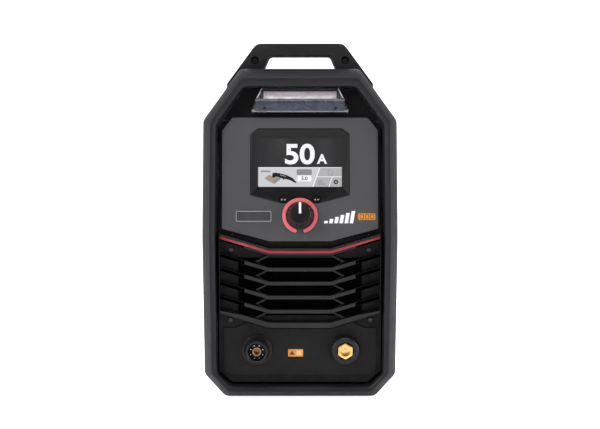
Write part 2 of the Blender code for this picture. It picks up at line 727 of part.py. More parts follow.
def make_lower_carrier():
    """The inner plate behind the grille and the connector panel, open where the air passes."""
    half = WELL["foot"] - FIT
    outline = rounded(mirrored([(KINK_HALF, down(0.1988)), (half, down(0.2118)),
                                (half - 0.0004, down(0.0310)), (0.0880, down(0.0160))]), 0.001)
    air = rectangle(-0.0800, down(0.1030), 0.0800, down(0.1780), 0.004)
    torch = circle(TORCH_X, down(SOCKET_Z), 0.0165)
    work = circle(WORK_X, down(SOCKET_Z), 0.0165)
    plate("lower_carrier", [outline, air, torch, work], CARRIER_THICK, DARK, LOWER, CARRIER_DEPTH)


def make_grille_screws():
    """Pan head screws in the grille's corners, in front of the inner plate."""
    head = [(0.0, 0.0010), (0.0012, 0.0010), (0.0012, 0.0024), (0.0026, 0.0024), (0.0036, 0.0014),
            (0.0036, 0.0), (0.0, 0.0)]
    places = ((-0.0890, 0.1885), (0.0890, 0.1885), (-0.0900, 0.0975), (0.0910, 0.0975))
    for i, (x, z) in enumerate(places):
        turned(f"grille_screw_{i + 1}", head, (x, CARRIER_DEPTH - GAP, down(z)), STEEL,
               "front", LOWER, 12)


# ---------------------------------------------------------------- connector panel and sockets

def make_connector_panel():
    half = 0.0985
    outline = rounded(mirrored([(KINK_HALF, down(0.0858)), (0.0673, down(0.0944)), (0.0828, down(0.0872)),
                                (half, down(0.0872)), (half, down(0.0330)),
                                (half - 0.0080, down(0.0265))]), 0.0012, 2)
    torch = circle(TORCH_X, down(SOCKET_Z), 0.0146)
    work = circle(WORK_X, down(SOCKET_Z), 0.0146)
    plate("connector_panel", [outline, torch, work], 0.0024, DARK, LOWER, CONNECTOR_DEPTH)


def make_torch_socket():
    place = (TORCH_X, CONNECTOR_DEPTH - GAP, down(SOCKET_Z))
    shell = [(0.0, 0.0080), (0.0112, 0.0080), (0.0112, 0.0285), (0.0122, 0.0295), (0.0138, 0.0295),
             (0.0148, 0.0280), (0.0156, 0.0060), (0.0176, 0.0035), (FLANGE_RADIUS, 0.0030),
             (FLANGE_RADIUS, 0.0), (0.0142, 0.0), (0.0142, -0.0180), (0.0, -0.0180)]
    turned("torch_socket_shell", shell, place, BLACK, "front", LOWER)
    carrier = [(0.0066, 0.0084), (0.0066, 0.0200), (0.0104, 0.0200), (0.0108, 0.0196), (0.0108, 0.0084)]
    turned("torch_pin_carrier", carrier, place, DARK, "front", LOWER, closed=True)
    contact = [(0.0, 0.0120), (0.0030, 0.0120), (0.0030, 0.0215), (0.0036, 0.0225), (0.0056, 0.0225),
               (0.0062, 0.0219), (0.0062, 0.0084), (0.0, 0.0084)]
    turned("torch_contact", contact, place, COPPER, "front", LOWER)


def make_work_socket():
    place = (WORK_X, CONNECTOR_DEPTH - GAP, down(SOCKET_Z))
    shell = [(0.0, 0.0020), (0.0112, 0.0020), (0.0112, 0.0185), (0.0122, 0.0195), (0.0162, 0.0195),
             (0.0176, 0.0180), (0.0180, 0.0050), (FLANGE_RADIUS, 0.0030),
             (FLANGE_RADIUS, 0.0), (0.0142, 0.0), (0.0142, -0.0200), (0.0, -0.0200)]
    turned("work_socket_shell", shell, place, BLACK, "front", LOWER)
    z = down(SOCKET_Z)
    corners = [(WORK_X + 0.0107 * math.cos(math.pi / 6 + i * math.pi / 3),
                z + 0.0107 * math.sin(math.pi / 6 + i * math.pi / 3)) for i in range(6)]
    insert = plate("work_socket_insert", [rounded(corners, 0.003)], 0.0165, BRASS, LOWER,
                   CONNECTOR_DEPTH - GAP - 0.0190)
    bevel(insert, 0.0008, 2, 50)
    bore = rod("work_bore", 0.0066, 0.030, (WORK_X, CONNECTOR_DEPTH - 0.0195, z), None, "front", LOWER, 32)
    cut(insert, bore)
    cut(insert, block("work_key", (0.0030, 0.0240, 0.0060), (WORK_X, CONNECTOR_DEPTH - 0.0195, z + 0.0058),
                      None, LOWER))


# ---------------------------------------------------------------- casing, base and rear

def folded_sheet(name, section, front, back, material):
    """A sheet folded along Y: the section is its outer line in XZ, and it thickens inwards."""
    bm = bmesh.new()
    rows = [[bm.verts.new((x, y, z)) for x, z in section] for y in (front, back)]
    for i in range(len(section) - 1):
        bm.faces.new((rows[0][i], rows[0][i + 1], rows[1][i + 1], rows[1][i]))
    mesh = bpy.data.meshes.new(name)
    bm.to_mesh(mesh)
    bm.free()
    thing = add_object(name, mesh, material)
    solid = thing.modifiers.new("sheet", "SOLIDIFY")
    solid.thickness = SHEET
    solid.offset = -1
    solid.use_even_offset = True
    return thing


CASE_FRONT = FRONT_Y + FRAME_LENGTH - LIP_LENGTH + FIT
CASE_BACK = REAR_Y - FRAME_LENGTH + LIP_LENGTH - FIT


def side_at(size, z):
    share = (z - size["heel"]) / (FOLD_Z - size["heel"])
    return size["foot"] + (size["fold"] - size["foot"]) * share


def make_casing():
    outline = octagon(SHELL, -CASE_INSET)
    seam = CASE_SEAM_Z + GAP
    half = side_at(SHELL, seam) - CASE_INSET
    left = [point for point in outline if point[0] < 0 and point[1] > seam]
    right = [point for point in outline if point[0] > 0 and point[1] > seam]
    section = [(-half, seam), *left, *right, (half, seam)]
    folded_sheet("casing_cover", section, CASE_FRONT, CASE_BACK, CASE_PAINT)


def make_base():
    outline = octagon(SHELL, -CASE_INSET)
    half = side_at(SHELL, CASE_SEAM_Z) - CASE_INSET
    low = [point for point in outline if point[1] < CASE_SEAM_Z]
    section = [(half, CASE_SEAM_Z), *low, (-half, CASE_SEAM_Z)]
    folded_sheet("base_tray", section, CASE_FRONT, CASE_BACK, STEEL)
    pad = [(0.0, BASE_Z - GAP), (PAD_RADIUS - 0.001, BASE_Z - GAP), (PAD_RADIUS, BASE_Z - GAP - 0.001),
           (PAD_RADIUS - 0.001, FLOOR_Z + 0.0006), (PAD_RADIUS - 0.0016, FLOOR_Z), (0.0, FLOOR_Z)]
    for i, (x, y) in enumerate(((-1, -1), (1, -1), (-1, 1), (1, 1))):
        turned(f"rubber_pad_{i + 1}", pad, (x * PAD_X, y * PAD_Y, 0), RUBBER, "up", steps=16)


def make_rear_panel():
    outline = octagon(SHELL, -0.0196)
    holes = [circle(0, FAN_Z, 0.0560, 40), circle(-0.055, REAR_FIT_Z, 0.0110, 24),
             circle(0.055, REAR_FIT_Z, 0.0110, 24), circle(0.055, 0.085, 0.0082, 24)]
    plate("rear_panel", [outline] + holes, SHEET, CASE_PAINT, depth=REAR_PANEL_Y)


def annular_slot(inner, outer, first, sweep, steps=4):
    turns = [first + sweep * i / steps for i in range(steps + 1)]
    outside = [(outer * math.cos(turn), FAN_Z + outer * math.sin(turn)) for turn in turns]
    inside = [(inner * math.cos(turn), FAN_Z + inner * math.sin(turn)) for turn in reversed(turns)]
    return outside + inside


def make_fan():
    outside = REAR_PANEL_Y + SHEET + GAP
    slots = []
    for ring in range(4):
        inner = 0.0150 + ring * 0.0100
        for quarter in range(4):
            margin = 0.0022 / inner
            first = quarter * math.pi / 2 + margin
            slots.append(annular_slot(inner, inner + 0.0076, first, math.pi / 2 - 2 * margin))
    plate("fan_guard", [circle(0, FAN_Z, 0.0580, 32)] + slots, 0.0025, BLACK, depth=outside)
    inside = REAR_PANEL_Y - GAP - FAN_DEPTH
    square = rectangle(-FAN_HALF, FAN_Z - FAN_HALF, FAN_HALF, FAN_Z + FAN_HALF, 0.005)
    housing = plate("fan_housing", [square, circle(0, FAN_Z, 0.0568, 36)], FAN_DEPTH, DARK, depth=inside)
    join(housing, rod("fan_boss", 0.0200, 0.0040, (0, inside + 0.0026, FAN_Z), None, "front"))
    for i in range(2):
        place = (0, inside + 0.0024 + i * 0.0003, FAN_Z)
        spoke = block(f"fan_spoke_{i}", (0.1164, 0.0026, 0.0060), place, None)
        spoke.rotation_euler.y = math.pi / 4 + i * math.pi / 2
        join(housing, spoke)
    middle = inside + 0.0054 + 0.0095
    rotor = rod("fan_rotor", 0.0190, 0.0190, (0, middle, FAN_Z), DARK, "front", None, 32)
    for i in range(7):
        turn = 2 * math.pi * i / 7
        blade = block(f"fan_blade_{i}", (0.0370, 0.0012, 0.0240), (0, 0, 0), None)
        place = Matrix.Translation((0, middle, FAN_Z)) @ Matrix.Rotation(turn, 4, "Y")
        pitch = Matrix.Translation((0.0350, 0, 0)) @ Matrix.Rotation(math.radians(52), 4, "X")
        blade.matrix_world = place @ pitch
        join(rotor, blade)


def make_switch():
    outside = REAR_PANEL_Y + SHEET + GAP
    x = -0.055
    square = rectangle(x - 0.024, REAR_FIT_Z - 0.024, x + 0.024, REAR_FIT_Z + 0.024, 0.004)
    face = plate("switch_body", [square], 0.0050, BLACK, depth=outside)
    join(face, rod("switch_stem", 0.0105, 0.0400, (x, outside - 0.0180, REAR_FIT_Z), None, "rear"))
    join(face, block("switch_case", (0.0400, 0.0300, 0.0400), (x, outside - 0.0200, REAR_FIT_Z), None))
    cut(face, rod("switch_bore", 0.0050, 0.0160, (x, outside + 0.0010, REAR_FIT_Z), None, "rear"))
    section = [(0.0, 0.0090), (0.0166, 0.0090), (0.0176, 0.0080), (0.0180, 0.0), (0.0045, 0.0),
               (0.0045, -0.0080), (0.0, -0.0080)]
    handle = turned("switch_handle", section, (x, outside + 0.0055, REAR_FIT_Z), DARK, "rear")
    grip = block("switch_grip", (0.0080, 0.0130, 0.0310), (x, outside + 0.0165, REAR_FIT_Z), None)
    bevel(grip, 0.0015)
    join(handle, grip)


def make_rear_fittings():
    outside = REAR_PANEL_Y + SHEET + GAP
    gland = [(0.0072, -0.0150), (0.0072, 0.0120), (0.0105, 0.0120), (0.0105, 0.0060), (0.0150, 0.0060),
             (0.0160, 0.0050), (0.0160, 0.0), (0.0105, 0.0), (0.0105, -0.0150)]
    turned("gland_body", gland, (0.055, outside, REAR_FIT_Z), BLACK, "rear", steps=20, closed=True)
    nut = [(0.0078, 0.0125), (0.0078, 0.0170), (0.0110, 0.0170), (0.0140, 0.0150), (0.0150, 0.0120),
           (0.0150, 0.0064), (0.0110, 0.0064), (0.0110, 0.0125)]
    turned("gland_nut", nut, (0.055, outside, REAR_FIT_Z), BLACK, "rear", steps=20, closed=True)
    inlet = [(0.0, -0.0240), (0.0045, -0.0240), (0.0045, 0.0165), (0.0065, 0.0165),
             (0.0070, 0.0160), (0.0070, 0.0080), (0.0110, 0.0070), (0.0110, 0.0), (0.0078, 0.0),
             (0.0078, -0.0280), (0.0, -0.0280)]
    turned("air_inlet", inlet, (0.055, outside, 0.085), BRASS, "rear", steps=20)
    bowl = [(0.0, 0.0260), (0.0150, 0.0260), (0.0165, 0.0245), (0.0165, -0.0200),
            (0.0120, -0.0260), (0.0, -0.0260)]
    turned("filter_bowl", bowl, (0.055, 0.178, 0.085), CLEAR, "up", steps=16)


# ---------------------------------------------------------------- inside the casing

def make_inside():
    slab("inner_shelf", [rectangle(-0.1120, -0.1500, 0.1120, 0.1500, 0.004)], 0.0020, STEEL, 0.2000)
    core = block("transformer_core", (0.0900, 0.0500, 0.0700), (0, -0.0600, 0.0650), FERRITE)
    for side in (-1, 1):
        place = (side * 0.0260, -0.0600, 0.0650)
        cut(core, block(f"core_window_{side}", (0.0220, 0.0700, 0.0400), place, None))
    coil_outer = rectangle(-0.0340, -0.0980, 0.0340, -0.0220, 0.010)
    coil_inner = rectangle(-0.0155, -0.0860, 0.0155, -0.0340, 0.002)
    slab("transformer_coil", [coil_outer, coil_inner], 0.0360, COPPER, 0.0470)
    comb = [(-0.0800, 0.1950)]
    fins = 11
    pitch = 0.1600 / (fins - 0.5)
    for i in range(fins):
        left = -0.0800 + i * pitch
        comb += [(left, 0.1300), (left + pitch / 2, 0.1300)]
        if i < fins - 1:
            comb += [(left + pitch / 2, 0.1860), (left + pitch, 0.1860)]
    comb.append((0.0800, 0.1950))
    plate("heatsink", [comb], 0.1800, ALUMINIUM, depth=-0.1000)
    slab("power_board", [rectangle(-0.1050, -0.1400, 0.1050, 0.1300, 0.003)], 0.0016, BOARD, 0.2120)
    for side, label in ((-1, "left"), (1, "right")):
        can = rod("capacitor_" + label, 0.0175, 0.0520, (side * 0.0500, 0.0400, 0.2402), SLEEVE, "up")
        bevel(can, 0.0015)
    choke = slab("output_choke", [circle(0, 0, 0.030, 20), circle(0, 0, 0.014, 20)], 0.0280, COPPER, 0.0200)
    choke.location.y = 0.0700
    bevel(choke, 0.0050, 1, 50)
    valve = block("air_valve", (0.0300, 0.0400, 0.0220), (0.0600, 0.1200, 0.0500), BRASS)
    join(valve, rod("valve_coil", 0.0110, 0.0300, (0.0600, 0.1200, 0.0700), None, "up"))


def stand_on_floor():
    """Lifts the pads, the lowest pieces, to Z = 0, and everything else with them."""
    for thing in (*PARTS.objects, *CUTTERS.objects):
        if thing.parent is None:
            thing.location.z -= FLOOR_Z


def main():
    make_front_frame()
    make_rear_frame()
    make_handle("front_handle", HANDLE_TOP, FRONT_Y + FRAME_LENGTH + FIT, "front")
    make_handle("rear_handle", REAR_HANDLE_TOP, REAR_Y - FRAME_LENGTH - HANDLE_LENGTH - FIT, "rear")
    make_control_panel()
    make_bezel()
    make_display()
    make_light_ring()
    make_knob()
    make_upper_carrier()
    make_lid()
    make_tray()
    make_grille()
    make_lower_carrier()
    make_grille_screws()
    make_connector_panel()
    make_torch_socket()
    make_work_socket()
    make_casing()
    make_base()
    make_rear_panel()
    make_fan()
    make_switch()
    make_rear_fittings()
    make_inside()
    stand_on_floor()


main()
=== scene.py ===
import json
import math

import bmesh
import bpy
from mathutils import Matrix, Vector


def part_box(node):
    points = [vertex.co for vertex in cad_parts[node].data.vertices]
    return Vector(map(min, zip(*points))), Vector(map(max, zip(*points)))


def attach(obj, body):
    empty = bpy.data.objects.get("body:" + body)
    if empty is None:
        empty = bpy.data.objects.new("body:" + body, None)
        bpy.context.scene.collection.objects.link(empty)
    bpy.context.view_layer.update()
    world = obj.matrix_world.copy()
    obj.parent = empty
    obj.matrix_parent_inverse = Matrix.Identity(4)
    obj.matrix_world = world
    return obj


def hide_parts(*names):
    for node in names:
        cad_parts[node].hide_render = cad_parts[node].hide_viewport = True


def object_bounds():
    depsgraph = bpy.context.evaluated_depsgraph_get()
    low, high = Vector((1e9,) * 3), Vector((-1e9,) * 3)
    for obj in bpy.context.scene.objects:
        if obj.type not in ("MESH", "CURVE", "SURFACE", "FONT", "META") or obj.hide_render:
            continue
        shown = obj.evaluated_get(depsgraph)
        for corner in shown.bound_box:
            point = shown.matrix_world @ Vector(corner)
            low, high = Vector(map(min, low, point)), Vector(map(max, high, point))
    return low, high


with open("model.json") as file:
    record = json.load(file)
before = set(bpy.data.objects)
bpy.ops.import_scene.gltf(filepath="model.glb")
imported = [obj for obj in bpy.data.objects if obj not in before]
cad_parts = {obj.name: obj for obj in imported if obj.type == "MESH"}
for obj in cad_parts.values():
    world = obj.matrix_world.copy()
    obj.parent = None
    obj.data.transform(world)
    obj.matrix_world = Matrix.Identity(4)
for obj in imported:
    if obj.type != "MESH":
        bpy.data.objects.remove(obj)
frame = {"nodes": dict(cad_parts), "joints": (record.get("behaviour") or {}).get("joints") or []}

cad_low, cad_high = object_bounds()
NODES = frame["nodes"]
JOINTS = {joint["name"]: joint for joint in frame["joints"]}
MM = 0.001
PRINT = 0.2 * MM        # the thickness of a printed mark or film
PRINT_LIFT = 0.12 * MM  # how far a mark's front stands out from its panel
PRINT_STEP = 0.1 * MM   # the step from one layer of print to the next
ORANGE = (0.72, 0.25, 0.02)
LABEL_INK = (0.05, 0.025, 0.01)
# The bright film of the cover's bend and side edges, a painted highlight.
EDGE_HIGHLIGHT = ((0.60, 0.60, 0.62), 0.85)


# ---------------------------------------------------------------- places on the unit

class Face:
    """A flat face of the unit: local X runs across, local Z up along it, and local Y in behind it."""

    def __init__(self, origin, lean):
        self.matrix = Matrix.Translation(origin) @ Matrix.Rotation(lean, 4, "X")

    def span(self, node):
        """A CAD node's lowest and highest corners in the face's own directions."""
        inverse = self.matrix.inverted()
        points = [inverse @ vertex.co for vertex in NODES[node].data.vertices]
        low = Vector([min(point[i] for point in points) for i in range(3)])
        high = Vector([max(point[i] for point in points) for i in range(3)])
        return low, high


knob_axis = Vector(JOINTS["knob_turn"]["axis"])
UPPER = Face(Vector(JOINTS["knob_turn"]["pos_m"]), -math.atan2(knob_axis.z, -knob_axis.y))
panel_low, panel_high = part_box("connector_panel")
LOWER_LEAN = math.atan2(panel_high.y - panel_low.y - 2.4 * MM, panel_high.z - panel_low.z)
LOWER = Face(Vector((0, panel_low.y, (panel_low.z + panel_high.z) / 2)), LOWER_LEAN)


# ---------------------------------------------------------------- materials

class Shader:
    """A Principled material that is built up node by node."""

    def __init__(self, name, color, roughness, metallic=0.0):
        self.material = bpy.data.materials.new(name)
        self.material.use_nodes = True
        self.tree = self.material.node_tree
        self.main = self.tree.nodes["Principled BSDF"]
        self.main.inputs["Metallic"].default_value = metallic
        self.main.inputs["Roughness"].default_value = roughness
        self.main.inputs["Base Color"].default_value = (*color, 1)
        self.color = color
        self.place = self.node("ShaderNodeTexCoord").outputs["Object"]

    def node(self, kind, **settings):
        made = self.tree.nodes.new(kind)
        for key, value in settings.items():
            setattr(made, key, value)
        return made

    def link(self, source, target):
        self.tree.links.new(source, target)

    def noise(self, scale, detail=3.0, rough=0.5, stretch=None):
        made = self.node("ShaderNodeTexNoise")
        made.inputs["Scale"].default_value = scale
        made.inputs["Detail"].default_value = detail
        made.inputs["Roughness"].default_value = rough
        place = self.place
        if stretch:
            mapping = self.node("ShaderNodeMapping")
            mapping.inputs["Scale"].default_value = stretch
            self.link(place, mapping.inputs["Vector"])
            place = mapping.outputs["Vector"]
        self.link(place, made.inputs["Vector"])
        return made.outputs["Fac"]

    def ranged(self, source, low, high, start=0.35, end=0.65):
        made = self.node("ShaderNodeMapRange")
        made.inputs["From Min"].default_value = start
        made.inputs["From Max"].default_value = end
        made.inputs["To Min"].default_value = low
        made.inputs["To Max"].default_value = high
        self.link(source, made.inputs["Value"])
        return made.outputs["Result"]

    def mixed(self, factor, first, second):
        made = self.node("ShaderNodeMix", data_type="RGBA")
        self.link(factor, made.inputs["Factor"])
        for socket, value in ((made.inputs["A"], first), (made.inputs["B"], second)):
            if isinstance(value, tuple):
                socket.default_value = (*value, 1)
            else:
                self.link(value, socket)
        return made.outputs["Result"]

    def mottle(self, amount, scale=14.0):
        """Slow shade changes over the surface."""
        dark = tuple(channel * (1 - amount) for channel in self.color)
        light = tuple(min(channel * (1 + amount), 1.0) for channel in self.color)
        shade = self.mixed(self.ranged(self.noise(scale, 4.0), 0, 1), dark, light)
        self.link(shade, self.main.inputs["Base Color"])
        self.shade = shade
        return self

    def rough(self, low, high, scale=60.0):
        self.link(self.ranged(self.noise(scale, 5.0, 0.6), low, high), self.main.inputs["Roughness"])
        return self

    def grain(self, scale, strength, distance=0.0002, stretch=None, detail=4.0):
        bump = self.node("ShaderNodeBump")
        bump.inputs["Strength"].default_value = strength
        bump.inputs["Distance"].default_value = distance
        self.link(self.noise(scale, detail, 0.65, stretch), bump.inputs["Height"])
        self.link(bump.outputs["Normal"], self.main.inputs["Normal"])
        return self

    def wear(self, color, radius=0.0010, strength=0.6):
        """Rubbed edges: where a rounded normal differs from the true one, broken up by noise."""
        round_normal = self.node("ShaderNodeBevel", samples=4)
        round_normal.inputs["Radius"].default_value = radius
        true_normal = self.node("ShaderNodeNewGeometry").outputs["Normal"]
        dot = self.node("ShaderNodeVectorMath", operation="DOT_PRODUCT")
        self.link(round_normal.outputs["Normal"], dot.inputs[0])
        self.link(true_normal, dot.inputs[1])
        edge = self.ranged(dot.outputs["Value"], strength, 0.0, 0.82, 0.995)
        broken = self.node("ShaderNodeMath", operation="MULTIPLY")
        self.link(edge, broken.inputs[0])
        self.link(self.ranged(self.noise(90.0, 5.0, 0.7), 0.15, 1.0), broken.inputs[1])
        self.shade = self.mixed(broken.outputs["Value"], self.shade, color)
        self.link(self.shade, self.main.inputs["Base Color"])
        return self

    def painted_recess_shade(self, distance=0.022, strength=1.0):
        """Painted shade in recesses: the colour falls off towards black where other surfaces are close."""
        hollow = self.node("ShaderNodeAmbientOcclusion", samples=5)
        hollow.inputs["Distance"].default_value = distance
        dark = self.ranged(hollow.outputs["AO"], strength, 0.0, 0.25, 0.95)
        shadow = tuple(channel * 0.10 for channel in self.color)
        self.shade = self.mixed(dark, self.shade, shadow)
        self.link(self.shade, self.main.inputs["Base Color"])
        return self

    def set(self, **values):
        for key, value in values.items():
            self.main.inputs[key.replace("_", " ")].default_value = value
        return self

    def glow(self, color, strength):
        self.main.inputs["Emission Color"].default_value = (*color, 1)
        self.main.inputs["Emission Strength"].default_value = strength
        return self


def frame_plastic():
    shader = Shader("frame_plastic", (0.0135, 0.0135, 0.0155), 0.46).mottle(0.10)
    shader.rough(0.42, 0.54).grain(1500, 0.22, 0.00015).wear((0.05, 0.05, 0.053))
    return shader.painted_recess_shade().set(Specular_IOR_Level=0.25).material


def handle_plastic():
    shader = Shader("handle_plastic", (0.008, 0.008, 0.009), 0.50).mottle(0.12)
    shader.rough(0.46, 0.60).grain(1100, 0.30, 0.0002).wear((0.03, 0.03, 0.032))
    return shader.painted_recess_shade().set(Specular_IOR_Level=0.3).material


def panel_plastic():
    shader = Shader("panel_plastic", (0.066, 0.066, 0.069), 0.58).mottle(0.06, 9)
    shader.rough(0.50, 0.62, 200).grain(2100, 0.45, 0.0002, detail=2.0).wear((0.11, 0.11, 0.11), 0.0008)
    return shader.painted_recess_shade(0.014, 0.7).set(Specular_IOR_Level=0.3).material


def dark_plastic():
    shader = Shader("dark_plastic", (0.0026, 0.0026, 0.0028), 0.50).mottle(0.12)
    shader.rough(0.44, 0.58).grain(1300, 0.18, 0.00015).wear((0.012, 0.012, 0.012))
    return shader.painted_recess_shade().set(Specular_IOR_Level=0.2).material


def bezel_plastic():
    shader = Shader("bezel_plastic", (0.0065, 0.0065, 0.0068), 0.40).mottle(0.08)
    shader.rough(0.32, 0.42).grain(1700, 0.08, 0.0001).wear((0.025, 0.025, 0.025), 0.0008)
    return shader.painted_recess_shade().set(Specular_IOR_Level=0.22).material


def grille_plastic():
    shader = Shader("grille_plastic", (0.015, 0.015, 0.016), 0.50).mottle(0.10)
    shader.rough(0.46, 0.58).grain(1500, 0.20, 0.00015).wear((0.04, 0.04, 0.04), 0.0008)
    return shader.painted_recess_shade().set(Specular_IOR_Level=0.3).material


def connector_plastic():
    shader = Shader("connector_plastic", (0.0042, 0.0042, 0.0045), 0.55).mottle(0.08)
    shader.rough(0.50, 0.62).grain(1900, 0.28, 0.00015).wear((0.022, 0.022, 0.022), 0.0008)
    return shader.painted_recess_shade().set(Specular_IOR_Level=0.25).material


def knob_plastic():
    shader = Shader("knob_plastic", (0.006, 0.006, 0.0065), 0.42).mottle(0.10)
    shader.rough(0.32, 0.46, 120).grain(1800, 0.15, 0.0001).wear((0.03, 0.03, 0.03), 0.0005)
    return shader.set(Specular_IOR_Level=0.3).material


def socket_plastic():
    shader = Shader("socket_plastic", (0.007, 0.0075, 0.009), 0.36).mottle(0.10)
    shader.rough(0.26, 0.40, 120).grain(1400, 0.08, 0.0001).wear((0.035, 0.038, 0.045), 0.0008)
    return shader.set(Specular_IOR_Level=0.3).material


def case_paint():
    shader = Shader("case_paint", (0.017, 0.017, 0.0185), 0.45).mottle(0.08, 7)
    shader.rough(0.36, 0.50, 40).grain(520, 0.35, 0.0003, detail=2.0).wear((0.08, 0.08, 0.083))
    return shader.set(Specular_IOR_Level=0.35).material


def rubber():
    shader = Shader("rubber", (0.011, 0.011, 0.011), 0.85).mottle(0.2)
    return shader.rough(0.75, 0.95).grain(700, 0.4, 0.0003).material


def shade_pad_finish():
    """Near-black painted shade for the sheet behind the louvres, which swallows nearly all light."""
    shader = Shader("shade_pad_black", (0.0012, 0.0012, 0.0012), 0.95).mottle(0.3, 300)
    return shader.rough(0.9, 1.0).grain(900, 0.8, 0.0008).set(Specular_IOR_Level=0.03).material


def zinc():
    shader = Shader("zinc", (0.42, 0.42, 0.43), 0.35, 1.0).mottle(0.15, 120)
    return shader.rough(0.28, 0.48, 200).grain(900, 0.10, 0.0001, (1, 1, 6)).material


def dull_steel():
    shader = Shader("dull_steel", (0.09, 0.09, 0.095), 0.5, 0.8).mottle(0.2, 60)
    return shader.rough(0.4, 0.6, 120).grain(700, 0.1, 0.0001).painted_recess_shade().material


def black_zinc():
    shader = Shader("black_zinc", (0.045, 0.045, 0.050), 0.35, 0.7).mottle(0.2, 150)
    return shader.rough(0.28, 0.45, 200).grain(900, 0.12, 0.0001).material


def brass():
    shader = Shader("brass", (0.82, 0.54, 0.19), 0.22, 1.0).mottle(0.12, 90)
    return shader.rough(0.16, 0.32, 220).grain(700, 0.12, 0.0001, (1, 8, 1)).material


def copper():
    shader = Shader("copper", (0.34, 0.19, 0.09), 0.30, 1.0).mottle(0.25, 110)
    return shader.rough(0.20, 0.42, 220).grain(800, 0.12, 0.0001, (1, 8, 1)).material


def silver_pin():
    return Shader("silver_pin", (0.80, 0.78, 0.72), 0.20, 1.0).mottle(0.1, 300).rough(0.15, 0.3, 400).material


def black_anodised():
    shader = Shader("black_anodised", (0.012, 0.012, 0.013), 0.5, 0.3).mottle(0.1, 40)
    return shader.rough(0.4, 0.6, 90).grain(600, 0.15, 0.0001, (1, 0.05, 1)).painted_recess_shade().material


def board_resin():
    shader = Shader("board_resin", (0.012, 0.085, 0.035), 0.40).mottle(0.3, 160)
    return shader.rough(0.3, 0.5).grain(400, 0.2, 0.0002).material


def ferrite():
    shader = Shader("ferrite", (0.05, 0.05, 0.052), 0.6).mottle(0.2, 60)
    return shader.rough(0.5, 0.7).grain(500, 0.3).material


def sleeve():
    shader = Shader("capacitor_sleeve", (0.02, 0.035, 0.14), 0.35).mottle(0.1)
    return shader.rough(0.3, 0.45).grain(300, 0.1).material


def clear_cover():
    shader = Shader("clear_cover", (0.22, 0.23, 0.27), 0.08).mottle(0.1, 60)
    shader.link(shader.ranged(shader.noise(45, 4.0), 0.05, 0.14), shader.main.inputs["Roughness"])
    return shader.grain(30, 0.05, 0.0004).set(Alpha=0.16).material


def cover_film(name, color, alpha):
    """A tinted or frosted part of the clear cover."""
    shader = Shader(name, color, 0.25).mottle(0.25, 70)
    shader.link(shader.ranged(shader.noise(90, 4.0), 0.15, 0.35), shader.main.inputs["Roughness"])
    return shader.set(Alpha=alpha).grain(300, 0.1, 0.0001).material


def clear_bowl():
    shader = Shader("clear_bowl", (0.55, 0.60, 0.66), 0.1)
    return shader.grain(60, 0.05, 0.0003).set(Alpha=0.45).material


def paper():
    # The paper's glow is painted light, since the clear cover would otherwise leave the card in shade.
    shader = Shader("chart_paper", (0.86, 0.80, 0.84), 0.6).mottle(0.12, 260)
    return shader.rough(0.5, 0.7).grain(1500, 0.1).glow((0.86, 0.80, 0.84), 0.22).material


def printed(name, color, spread=0.05, roughness=0.35):
    """Ink or film: a flat colour with a slight unevenness and a fine texture."""
    shader = Shader(name, color, roughness).mottle(spread, 80)
    return shader.rough(roughness * 0.8, roughness * 1.2, 150).grain(1800, 0.08, 0.0001).material


def glowing_chart_print(name, color):
    """Print on the chart's bright paper, with a painted glow, since the clear cover would otherwise leave it
    in shade.
    """
    shader = Shader(name, color, 0.5).mottle(0.08, 90)
    return shader.rough(0.4, 0.6, 150).grain(1800, 0.08, 0.0001).glow(color, 0.22).material


def lit(name, color):
    """A lit area of the display, with its pixel grid as a faint shade change."""
    shader = Shader(name, tuple(channel * 0.05 for channel in color), 0.30)
    grid = shader.ranged(shader.noise(2600, 1.0), 0.94, 1.0)
    tone = shader.mixed(grid, tuple(channel * 0.90 for channel in color), color)
    shader.link(tone, shader.main.inputs["Emission Color"])
    shader.main.inputs["Emission Strength"].default_value = 1.0
    shader.set(Specular_IOR_Level=0.05)
    return shader.material


def ring_light():
    shader = Shader("ring_light", (0.30, 0.05, 0.055), 0.40)
    across = shader.node("ShaderNodeSeparateXYZ")
    shader.link(shader.place, across.inputs[0])
    side = shader.ranged(across.outputs["X"], 0, 1, -0.023, 0.023)
    tone = shader.mixed(side, (0.66, 0.150, 0.165), (0.40, 0.070, 0.080))
    cloud = shader.mixed(shader.ranged(shader.noise(70, 2.0), 0, 0.25), tone, (0.30, 0.05, 0.06))
    shader.link(cloud, shader.main.inputs["Emission Color"])
    shader.main.inputs["Emission Strength"].default_value = 0.85
    return shader.grain(900, 0.08, 0.0001).material


MATERIALS = {}


def finish_of(maker, *args):
    """Each material is made once, when it is first asked for."""
    key = (maker.__name__, *args)
    if key not in MATERIALS:
        MATERIALS[key] = maker(*args)
    return MATERIALS[key]


# ---------------------------------------------------------------- mesh building

def add_piece(name, mesh, material, body="root"):
    piece = bpy.data.objects.new(name, mesh)
    bpy.context.scene.collection.objects.link(piece)
    mesh.materials.clear()
    mesh.materials.append(material)
    mesh.shade_smooth()
    mesh.set_sharp_from_angle(angle=math.radians(35))
    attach(piece, body)
    return piece


def mesh_of(name, bm, matrix):
    bmesh.ops.recalc_face_normals(bm, faces=bm.faces[:])
    bm.transform(matrix)
    mesh = bpy.data.meshes.new(name)
    bm.to_mesh(mesh)
    bm.free()
    return mesh


def curve_mesh(name, curve, matrix):
    """The mesh of a filled flat curve, its XY laid into the face's XZ."""
    guide = bpy.data.objects.new(name, curve)
    bpy.context.scene.collection.objects.link(guide)
    bpy.context.view_layer.update()
    raw = bpy.data.meshes.new_from_object(guide.evaluated_get(bpy.context.evaluated_depsgraph_get()))
    bpy.data.objects.remove(guide)
    bm = bmesh.new()
    bm.from_mesh(raw)
    bpy.data.meshes.remove(raw)
    bmesh.ops.remove_doubles(bm, verts=bm.verts, dist=1e-6)
    return mesh_of(name, bm, matrix @ Matrix.Rotation(math.pi / 2, 4, "X"))


